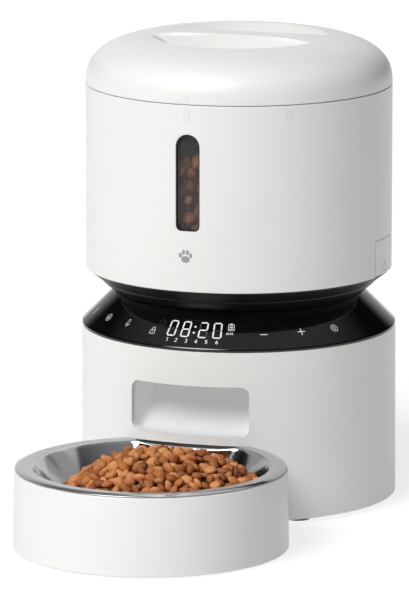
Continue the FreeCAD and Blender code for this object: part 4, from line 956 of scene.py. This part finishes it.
def make_base(props):
    """Base casing: a slightly tapered wall with the chute's mouth, a slit behind the bowl and the inlet."""
    sizes = props.base
    shell_wall = 2.6 * MM

    def place(u, v):
        share = (v - BASE_LOW) / (RING_LOW - BASE_LOW)
        return polar(BASE_R + (RING_R - BASE_R) * share, u, v)

    mouth = outline(sizes.mouth_half_width, sizes.mouth_low, sizes.mouth_high, sizes.mouth_corner,
                    sizes.mouth_corner, 12)
    mouth[:, 0] = np.arcsin(mouth[:, 0] / RING_R)
    mouth_u = math.asin((sizes.mouth_half_width + 2.5 * MM) / RING_R)
    mouth_z = (sizes.mouth_low - 2.2 * MM, sizes.mouth_high + 2.5 * MM)
    slit_u = sizes.slit_reach * DEG
    slit_half = sizes.slit_height / 2
    slit_middle = BOWL_TOP - 0.1 * MM - slit_half
    slit_z = (slit_middle - slit_half - 0.9 * MM, slit_middle + slit_half + 0.9 * MM)
    slit = oval(0, slit_middle, slit_u, slit_half, 160)
    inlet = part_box("power_inlet")
    inlet_z = (inlet[0].z + inlet[1].z) / 2
    inlet_r = 5.7 * MM
    inlet_frame = 8 * MM
    inlet_u = inlet_frame / BASE_R
    inlet_low = inlet_z - inlet_frame
    inlet_high = inlet_z + inlet_frame
    inlet_line = oval(math.pi, inlet_z, inlet_r / BASE_R, inlet_r, 72)
    frame_u = slit_u + 1.5 * DEG
    columns = stations((SEAM, SEAM + 2 * math.pi, 145), (-mouth_u, mouth_u, 61), (-frame_u, frame_u, 81),
                       (math.pi - inlet_u, math.pi + inlet_u, 13))
    rows = stations((BASE_LOW, inlet_low, 4), (inlet_low, inlet_high, 13), (inlet_high, slit_z[0], 4),
                    (*slit_z, 7), (slit_z[1], mouth_z[0], 3), (*mouth_z, 31), (mouth_z[1], RING_LOW, 5))
    holes = [(-mouth_u, mouth_u, *mouth_z, mouth), (-frame_u, frame_u, *slit_z, slit),
             (math.pi - inlet_u, math.pi + inlet_u, inlet_low, inlet_high, inlet_line)]
    piece("base_shell", [wall(columns, rows, place, holes)], "base", MATERIALS["white"],
          ["base_casing"], thickness=shell_wall, bevel=0.45 * MM, flip=(0, AXIS_Y))


def make_chute(props):
    """Chute: a level floor, then a ramp, between walls that draw in, in rounded rectangular sections.

    The floor's height and the width are functions of the distance from the base axis. Each section is a
    rounded rectangle between floor and ceiling, and the sections are joined from the mouth inwards.
    """
    sizes = props.base
    inside = RING_R - 1.2 * MM
    level = 7 * MM
    deck_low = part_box("deck")[0].z
    count = 34
    depth = np.linspace(0, 1, count) ** 1.2
    reach_front = inside - 0.2 * MM
    reach_rear = 29 * MM
    corner = sizes.mouth_corner - 0.4 * MM
    steps = 7
    spread = stations((0, 4 * steps - 1, 4 * steps), (steps - 1, steps, 25), (3 * steps - 1, 3 * steps, 25))
    sections = []
    for share in depth:
        y = reach_front + (reach_rear - reach_front) * share
        half = sizes.mouth_half_width - 0.2 * MM + (23 * MM - sizes.mouth_half_width) * share
        ramp_share = np.clip((reach_front - level - y) / (reach_front - level - reach_rear), 0, 1)
        low = sizes.mouth_low + 0.2 * MM + (deck_low - 0.5 * MM - sizes.mouth_low) * ramp_share
        high = sizes.mouth_high - 0.2 * MM + (deck_low - sizes.mouth_high) * np.clip(
            (reach_front - 14 * MM - y) / (12 * MM), 0, 1)
        high = max(float(high), float(low) + 2 * corner + 0.2 * MM)
        line = outline(half, float(low), high, corner, corner, steps)
        line = np.stack([np.interp(spread, np.arange(4 * steps), line[:, k]) for k in (0, 1)], 1)
        bow = np.sqrt(np.maximum(inside ** 2 - line[:, 0] ** 2, 0)) - inside
        sections.append(np.stack([line[:, 0], AXIS_Y - y - bow * (1 - share), line[:, 1]], -1))
    tube = np.array(sections)
    piece("chute_tunnel", [grid(tube, wrap_columns=True)], "base", MATERIALS["chute"],
          ["chute"])


def make_feet(props):
    """Four round pads at 45 degrees round the base, each a rounded profile carried round."""
    parts = []
    reach = 75 * MM / math.sqrt(2)
    profile = rounded([(0, 0), (7 * MM, 0), (7 * MM, 2.8 * MM), (0, 2.8 * MM)], 0.6 * MM, 3)
    points, faces = turned(profile, 32, 0)
    for x, y in ((-1, -1), (-1, 1), (1, -1), (1, 1)):
        parts.append((points + np.array([x * reach, AXIS_Y + y * reach, 0]), faces))
    piece("rubber_feet_pads", parts, "base", MATERIALS["rubber"], ["rubber_feet"])


# ---------------------------------------------------------------- bowl
def nested(limit, nest, angle, soft):
    """Radius about the bowl's axis of a circle that the base's nest circle cuts into.

    Along each direction it is the smaller of the circle's radius and the distance to the nest circle
    about the base axis, blended over a length so that the horns come out rounded.
    """
    turn = np.cos(angle)
    inside = nest ** 2 - (APART * np.sin(angle)) ** 2
    far = APART * turn - np.sqrt(np.maximum(inside, 0))
    far = np.where((inside > 0) & (turn > 0), far, 10.0)
    low = np.minimum(limit, far)
    return low - soft * np.log(np.exp((low - limit) / soft) + np.exp((low - far) / soft))


def nest_angles():
    """Directions from the base axis (+Y), with more of them where the horns are."""
    return stations((-180 * DEG, 180 * DEG, 217), (24 * DEG, 40 * DEG, 49), (-40 * DEG, -24 * DEG, 49))[:-1]


def nested_rings(rings, softness, dip=0.0):
    """Closed rings of (radius, nest radius, height) about the bowl's axis, joined in order.

    Softness is one length or one for each ring. A dip lowers each ring where the nest cuts into it.
    """
    angle = nest_angles()
    softness = np.broadcast_to(softness, len(rings))
    dips = np.broadcast_to(dip, len(rings))
    rows = []
    for (radius, nest, height), soft, lower in zip(rings, softness, dips):
        reach = nested(max(radius, 1e-5), nest, angle, soft * min(1.0, radius / (20 * MM)) + 1e-7)
        cut = np.clip((radius - reach) / (9 * MM), 0, 1)
        rows.append(np.stack([reach * np.sin(angle), BOWL_Y + reach * np.cos(angle),
                              height - lower * eased(cut)], -1))
    return grid(np.array(rows), wrap_columns=True)


def make_holder(props):
    """Moulded tray that carries the bowl, hollowed at the back to fit round the base."""
    bottom_r = 74.8 * MM
    top_r = 73.9 * MM
    wall_mm = 2.2 * MM
    nest = RING_R + 1.1 * MM
    outer = rounded([(bottom_r - 4 * MM, HOLDER_LOW), (bottom_r, HOLDER_LOW), (top_r, HOLDER_TOP),
                     (top_r - wall_mm, HOLDER_TOP), (top_r - wall_mm - 0.4 * MM, HOLDER_LOW + wall_mm)],
                    0.8 * MM, 4)
    rings = [(0, nest, HOLDER_LOW), (30 * MM, nest + 4 * MM, HOLDER_LOW)]
    for r, z in outer:
        inward = np.clip((bottom_r - (z - HOLDER_LOW) / (HOLDER_TOP - HOLDER_LOW) * (bottom_r - top_r)) - r,
                         0, 4 * MM)
        rings.append((r, nest + inward, z))
    floor = HOLDER_LOW + wall_mm
    rings += [(40 * MM, nest + 6 * MM, floor), (0, nest + 6 * MM, floor)]
    tongue_y = AXIS_Y - nest - 4 * MM
    rear_y = AXIS_Y - RING_R + 16 * MM
    half = 20 * MM
    thick = 1.3 * MM
    box = np.array([[[sx, y, z] for y, z in ((tongue_y, HOLDER_LOW), (rear_y, HOLDER_LOW),
                                             (rear_y, HOLDER_LOW + thick), (tongue_y, HOLDER_LOW + thick))]
                    for sx in np.linspace(-half, half, 9)])
    caps = [grid(np.stack([box[k, :2], box[k, 3:1:-1]])) for k in (0, -1)]
    piece("bowl_holder_shell", [nested_rings(rings, 0.5 * MM), grid(box, wrap_columns=True)] + caps, "tray",
          MATERIALS["white"], ["bowl_holder"])


def make_bowl(props):
    """Pressed steel bowl: rolled edge, flat rim, sloping wall, rounded floor; hollowed at the back.

    The rim dips where it lies against the base, and the cavity's corners there are softer than the rim's.
    """
    sizes = props.bowl
    low = HOLDER_TOP + 0.3 * MM
    top = BOWL_TOP
    nest = RING_R + 1.7 * MM
    mouth = BOWL_R - sizes.rim_width
    floor = top - sizes.depth
    rim = rounded([(BOWL_R - 1.3 * MM, low), (BOWL_R, low), (BOWL_R, top - 1.0 * MM), (BOWL_R - 3 * MM, top),
                   (mouth + 0.6 * MM, top - 0.3 * MM), (mouth - 0.8 * MM, top - 2.2 * MM)], 1.2 * MM, 6)
    cavity = rounded([(mouth - 0.8 * MM, top - 2.2 * MM), (sizes.floor_radius, floor), (0, floor)],
                     14 * MM, 14)
    profile = np.concatenate([rim, cavity[1:]])
    shares = np.linspace(0, 1, len(cavity) - 1)
    inward = np.concatenate([np.clip((BOWL_R - rim[:, 0]) * 0.31, 0, 2.9 * MM),
                             2.9 * MM + 9 * MM * shares ** 0.8])
    rings = [(r, nest + shift, z) for (r, z), shift in zip(profile, inward)]
    flat = np.clip((BOWL_R - rim[:, 0]) / sizes.rim_width, 0, 1) ** 2
    softness = np.concatenate([0.6 * MM + flat * 1.6 * MM, 2.2 * MM + 3 * MM * np.minimum(1, shares * 4)])
    dip = np.concatenate([np.full(len(rim), sizes.dip), sizes.dip * (1 - np.minimum(1, shares * 3))])
    piece("steel_food_bowl", [nested_rings(rings, softness, dip)], "bowl", MATERIALS["steel"],
          ["steel_bowl"])


# ---------------------------------------------------------------- food
def kibble_form():
    """One piece of kibble of width 1: a fat rounded disc on a small grid, 48 faces."""
    lat = np.array([-90, -48, -12, 22, 55, 90]) * DEG
    lon = np.arange(8) * 45 * DEG
    flat = np.sign(np.cos(lat)) * np.abs(np.cos(lat)) ** 0.75
    x = 0.5 * flat[:, None] * np.cos(lon)
    y = 0.5 * flat[:, None] * np.sin(lon)
    z = 0.27 * np.sin(lat)[:, None] * np.ones(8)
    return np.stack([x, y, z], -1)


def kibble_field(places, widths, tilts, turns, random):
    """Many pieces at once: each is stretched, dented by a low wave, tipped, turned and moved."""
    form = kibble_form().reshape(-1, 3)
    count = len(places)
    stretch = 1 + random.uniform(-0.16, 0.16, (count, 1, 3))
    dents = 1 + 0.1 * np.sin(form[None] @ random.normal(0, 5, (count, 3, 1))
                             + random.uniform(0, 6, (count, 1, 1)))
    points = form[None] * stretch * dents * widths[:, None, None]
    cos_t, sin_t = np.cos(tilts), np.sin(tilts)
    cos_a, sin_a = np.cos(turns), np.sin(turns)
    x, y, z = points[..., 0], points[..., 1], points[..., 2]
    spin = random.uniform(0, 2 * math.pi, (count, 1))
    x, y = x * np.cos(spin) - y * np.sin(spin), x * np.sin(spin) + y * np.cos(spin)
    x, z = x * cos_t[:, None] + z * sin_t[:, None], z * cos_t[:, None] - x * sin_t[:, None]
    x, y = x * cos_a[:, None] - y * sin_a[:, None], x * sin_a[:, None] + y * cos_a[:, None]
    points = np.stack([x, y, z], -1) + places[:, None, :]
    _, faces = grid(kibble_form(), wrap_columns=True)
    faces = faces[None] + np.arange(count)[:, None, None] * len(form)
    tones = np.repeat(random.uniform(0.0, 0.62, count), len(form))
    return points.reshape(-1, 3), faces.reshape(-1, 4), tones


def piled(random, target, floor, limit, wanted, tries, width):
    """Drop pieces one by one on a height map until the heap reaches target(x, y) nearly everywhere.

    Each piece sits on the ground under it and leans with it, and the map rises by a dome of its width.
    """
    cell = 0.6 * MM
    span = int(90 * MM / cell)
    axis = np.arange(-span, span + 1) * cell
    grid_x, grid_y = np.meshgrid(axis, axis, indexing="ij")
    heights = floor(grid_x, grid_y)
    found = []
    for _ in range(tries):
        if len(found) >= wanted:
            break
        x, y = random.uniform(-limit, limit, 2)
        w = width * random.uniform(0.86, 1.22)
        i0 = int(round(x / cell)) + span
        j0 = int(round(y / cell)) + span
        k = int(w / 2 / cell)
        spot = (slice(i0 - k, i0 + k + 1), slice(j0 - k, j0 + k + 1))
        patch = heights[spot]
        px = grid_x[spot] - x
        py = grid_y[spot] - y
        near = px ** 2 + py ** 2 < (w / 2) ** 2
        if not near.any():
            continue
        seat = np.percentile(patch[near], 62)
        goal = target(x, y)
        if seat + 0.3 * w > goal:
            continue
        slope_x = np.sum(px[near] * (patch[near] - seat)) / np.sum(px[near] ** 2)
        slope_y = np.sum(py[near] * (patch[near] - seat)) / np.sum(py[near] ** 2)
        lean = math.atan(min(1.2, math.hypot(slope_x, slope_y))) + random.normal(0, 0.4)
        way = math.atan2(slope_y, slope_x) + math.pi
        z = seat + 0.26 * w
        top = z + 0.3 * w * np.sqrt(np.maximum(1 - (px ** 2 + py ** 2) / (w / 2) ** 2, 0))
        heights[spot] = np.where(near, np.maximum(patch, top), patch)
        found.append((x, y, z, w, lean, way))
    return np.array(found)


def make_bowl_food(props):
    """Heap of kibble in the bowl: a mound that is highest behind the middle."""
    random = np.random.default_rng(11)
    sizes = props.bowl
    floor_z = BOWL_TOP - sizes.depth

    def floor(x, y):
        radius = np.hypot(x, y)
        slope = np.clip((radius - 38 * MM) / (26 * MM), 0, 1)
        nest = np.hypot(x, y - APART)
        back = np.clip((RING_R + 8 * MM - nest) / (5 * MM), 0, 1) * 60 * MM
        return floor_z + slope ** 2 * (BOWL_TOP - floor_z) + back

    def target(x, y):
        mound = 1 - abs((x - 5 * MM) / (61 * MM)) ** 2.4 - abs((y - 5 * MM) / (60 * MM)) ** 2.4
        nest = math.hypot(x, y - APART)
        if nest < RING_R + 9 * MM:
            return 0
        return floor_z + sizes.heap * max(mound, 0) ** 0.62

    heap = piled(random, target, floor, 58 * MM, 1500, 9000, props.hopper.kibble)
    places = np.stack([heap[:, 0], heap[:, 1] + BOWL_Y, heap[:, 2]], 1)
    points, faces, tones = kibble_field(places, heap[:, 3], heap[:, 4], heap[:, 5], random)
    piece("kibble_in_bowl", [(points, faces)], "bowl", MATERIALS["food"], tones=tones)


def make_tank_food(props):
    """Food in the tank: a lumpy mass with loose pieces on top and pieces against the window."""
    random = np.random.default_rng(5)
    fill = props.hopper.food_level
    width = props.hopper.kibble * 1.12
    radius = 79.2 * MM
    low = 142 * MM
    angle = np.linspace(0, 2 * math.pi, 120, endpoint=False)
    rings = np.concatenate([[0.0], np.linspace(8, 76, 14) * MM])
    reach = rings[:, None] / MM
    wave = 1.2 * MM * np.sin(reach * 0.9 + 3 * angle) * np.cos(reach * 0.6 - 5 * angle)
    top = polar(rings[:, None], angle[None, :], fill - 5 * MM + wave)
    side_z = np.array([fill - 6 * MM, low])
    side = polar(74 * MM, angle[None, :], side_z[:, None])
    floor = polar(np.array([74, 0.0])[:, None] * MM, angle[None, :], low)
    mass = [grid(top, wrap_columns=True),
            grid(np.concatenate([top[-1:], side, floor[1:]]), wrap_columns=True)]
    piece("food_mass", mass, "hopper", MATERIALS["food"])

    def ground(x, y):
        return np.full_like(x, fill - 6 * MM)

    def target(x, y):
        return fill + 1.5 * MM if math.hypot(x, y) < radius - width * 0.55 else 0

    loose = piled(random, target, ground, radius, 900, 6000, width)
    loose[:, 2] = np.minimum(loose[:, 2], fill - 1 * MM)
    places = np.stack([loose[:, 0], loose[:, 1] + AXIS_Y, loose[:, 2]], 1)
    points, faces, tones = kibble_field(places, loose[:, 3], loose[:, 4], loose[:, 5], random)
    piece("kibble_on_top", [(points, faces)], "hopper", MATERIALS["food"], tones=tones)

    seats = []
    for _ in range(4000):
        u = random.uniform(-11, 11) * MM
        z = random.uniform(160 * MM, fill - 2 * MM)
        w = width * random.uniform(0.9, 1.2)
        if all((u - s[0]) ** 2 + (z - s[1]) ** 2 > (0.43 * (w + s[2])) ** 2 for s in seats):
            seats.append((u, z, w))
    back = [(s[0] + random.uniform(-2, 2) * MM, s[1] + 3 * MM, s[2]) for s in seats]
    rows = np.array(seats + back)
    depth = np.concatenate([np.full(len(seats), 76.6), np.full(len(back), 72.5)]) * MM
    places = polar(depth + random.uniform(-0.6, 0.6, len(rows)) * MM, rows[:, 0] / depth, rows[:, 1])
    tilts = random.uniform(50, 130, len(rows)) * DEG
    turns = random.uniform(60, 120, len(rows)) * DEG
    points, faces, tones = kibble_field(places, rows[:, 2], tilts, turns, random)
    piece("kibble_at_window", [(points, faces)], "hopper", MATERIALS["food"], tones=tones)


# ---------------------------------------------------------------- stage
# Azimuth, elevation, inner and outer angle in degrees, and strength: soft box, rear wall, ceiling.
SOFT_BOXES = ((-20.5, 46, 8, 23, 13.2), (199, 14, 8, 31, 0.75), (0, 90, 20, 62, 0.4))
WALL_LIGHT = 0.012
FLOOR_HALF = 14.0
CAMERA_LENS = 383.2
CAMERA_PLACE = (1.1538, -3.2391, 0.8055)
CAMERA_AIM = (-0.3284, 0.9242, -0.1951)


def facing(azimuth, elevation):
    """Direction at an azimuth from the front (-Y) towards +X and an elevation, both in degrees."""
    around = azimuth * DEG
    level = math.cos(elevation * DEG)
    return (math.sin(around) * level, -math.cos(around) * level, math.sin(elevation * DEG))


def studio_light():
    """Light from all round: dim walls, a large soft box on the left, a pale wall behind and a pale ceiling.

    A soft box adds its strength inside an inner angle from its direction and nothing outside an outer
    one, with a smooth step between, so that its edges are soft in every reflection.
    """
    world = bpy.data.worlds.new("studio")
    world.use_nodes = True
    where = add(world, "ShaderNodeTexCoord").outputs["Generated"]
    total = None
    for azimuth, elevation, inner, outer, strength in SOFT_BOXES:
        side = add(world, "ShaderNodeVectorMath", {"operation": "DOT_PRODUCT"}, {0: where})
        side.inputs[1].default_value = facing(azimuth, elevation)
        step = add(world, "ShaderNodeMapRange", {"interpolation_type": "SMOOTHSTEP",
                                                 "From Min": math.cos(outer * DEG),
                                                 "From Max": math.cos(inner * DEG), "To Max": strength},
                   {"Value": side.outputs["Value"]})
        light = step.outputs["Result"]
        total = light if total is None else add(world, "ShaderNodeMath", {"operation": "ADD"},
                                                {0: total, 1: light}).outputs["Value"]
    total = add(world, "ShaderNodeMath", {"operation": "ADD", 1: WALL_LIGHT}, {0: total}).outputs["Value"]
    shader = world.node_tree.nodes["Background"]
    shader.inputs["Color"].default_value = (1, 1, 1, 1)
    world.node_tree.links.new(total, shader.inputs["Strength"])
    return world


def make_stage(props):
    """Pale floor lit from below as a light table is, a studio's soft light and the camera."""
    half = FLOOR_HALF
    mesh = bpy.data.meshes.new("studio_floor")
    mesh.from_pydata([(-half, -half, 0), (half, -half, 0), (half, half, 0), (-half, half, 0)], [],
                     [(0, 1, 2, 3)])
    floor = linked("studio_floor", mesh)
    material, shader = finish_of("matt_paper", linear("8C8C8C"), 0.95, Specular_IOR_Level=0.0,
                                 Emission_Color=(1, 1, 1, 1), Emission_Strength=0.75)
    grain(material, shader, 2 * MM, 0.01 * MM, 0.02)
    mesh.materials.append(material)

    view = bpy.data.cameras.new("camera")
    view.sensor_fit = "VERTICAL"
    view.sensor_height = 36
    view.lens = CAMERA_LENS
    view.clip_end = 60
    camera = linked("camera", view)
    camera.location = CAMERA_PLACE
    camera.rotation_euler = Vector(CAMERA_AIM).to_track_quat("-Z", "Y").to_euler()
    bpy.context.scene.camera = camera
    bpy.context.scene.world = studio_light()
    bpy.context.scene.view_settings.view_transform = "Standard"


# ---------------------------------------------------------------- add-on
class FeederSettings(bpy.types.PropertyGroup):
    lid: bpy.props.PointerProperty(type=LidSizes, name="Lid", description="Sizes of the lid")
    hopper: bpy.props.PointerProperty(type=HopperSizes, name="Hopper", description="Sizes of the hopper")
    base: bpy.props.PointerProperty(type=BaseSizes, name="Base", description="Sizes of the base")
    bowl: bpy.props.PointerProperty(type=BowlSizes, name="Bowl", description="Sizes of the bowl")
    finishes: bpy.props.PointerProperty(type=Finishes, name="Finishes", description="Colours of the pieces")


class FEEDER_OT_materials(bpy.types.Operator):
    """Make the materials and give the carried-over CAD nodes theirs"""
    bl_idname = "feeder.materials"
    bl_label = "Materials"

    def execute(self, context):
        MATERIALS.update(make_materials(context.scene.feeder.finishes))
        for key, names in NODE_FINISH.items():
            for name in names:
                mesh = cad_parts[name].data
                mesh.materials.clear()
                mesh.materials.append(MATERIALS[key])
        return {"FINISHED"}


def operator(key, label, text, make):
    """An operator class that runs one of the functions that make pieces."""

    def execute(self, context):
        make(context.scene.feeder)
        return {"FINISHED"}

    return type("FEEDER_OT_" + key, (bpy.types.Operator,),
                {"bl_idname": "feeder." + key, "bl_label": label, "__doc__": text, "execute": execute})


OPERATORS = [FEEDER_OT_materials] + [operator(*entry) for entry in (
    ("lid", "Lid", "Make the lid's shell with its grip", make_lid),
    ("hopper", "Hopper casing", "Make the hopper's casing, its marks and its window", make_hopper),
    ("skirt", "Hopper underside", "Make the hopper's black sloping underside", make_skirt),
    ("latches", "Release latches", "Make both release latches and their marks", make_latches),
    ("badge", "Paw print", "Make the printed paw", make_badge),
    ("ring", "Control ring", "Make the black control ring", make_ring),
    ("symbols", "Symbols", "Make the lit figures and key symbols", make_symbols),
    ("base", "Base casing", "Make the base's casing with the chute's mouth", make_base),
    ("chute", "Chute", "Make the inside of the chute", make_chute),
    ("feet", "Feet", "Make the rubber feet", make_feet),
    ("holder", "Bowl holder", "Make the tray that carries the bowl", make_holder),
    ("bowl", "Steel bowl", "Make the steel bowl", make_bowl),
    ("bowl_food", "Food in the bowl", "Make the heap of kibble", make_bowl_food),
    ("tank_food", "Food in the tank", "Make the food behind the window", make_tank_food),
    ("stage", "Stage", "Make the floor, the lights and the camera", make_stage),
)]


class FEEDER_PT_panel(bpy.types.Panel):
    """Lists what builds the feeder"""
    bl_idname = "FEEDER_PT_panel"
    bl_label = "Feeder"
    bl_space_type = "VIEW_3D"
    bl_region_type = "UI"
    bl_category = "Feeder"

    def draw(self, context):
        for kind in OPERATORS:
            self.layout.operator(kind.bl_idname)


GROUPS = [LidSizes, HopperSizes, BaseSizes, BowlSizes, Finishes, FeederSettings]


def register():
    for kind in GROUPS + OPERATORS + [FEEDER_PT_panel]:
        bpy.utils.register_class(kind)
    bpy.types.Scene.feeder = bpy.props.PointerProperty(type=FeederSettings)


def unregister():
    del bpy.types.Scene.feeder
    for kind in reversed(GROUPS + OPERATORS + [FEEDER_PT_panel]):
        bpy.utils.unregister_class(kind)


def main():
    register()
    for kind in OPERATORS:
        group, name = kind.bl_idname.split(".")
        getattr(getattr(bpy.ops, group), name)()


if __name__ == "__main__":
    main()
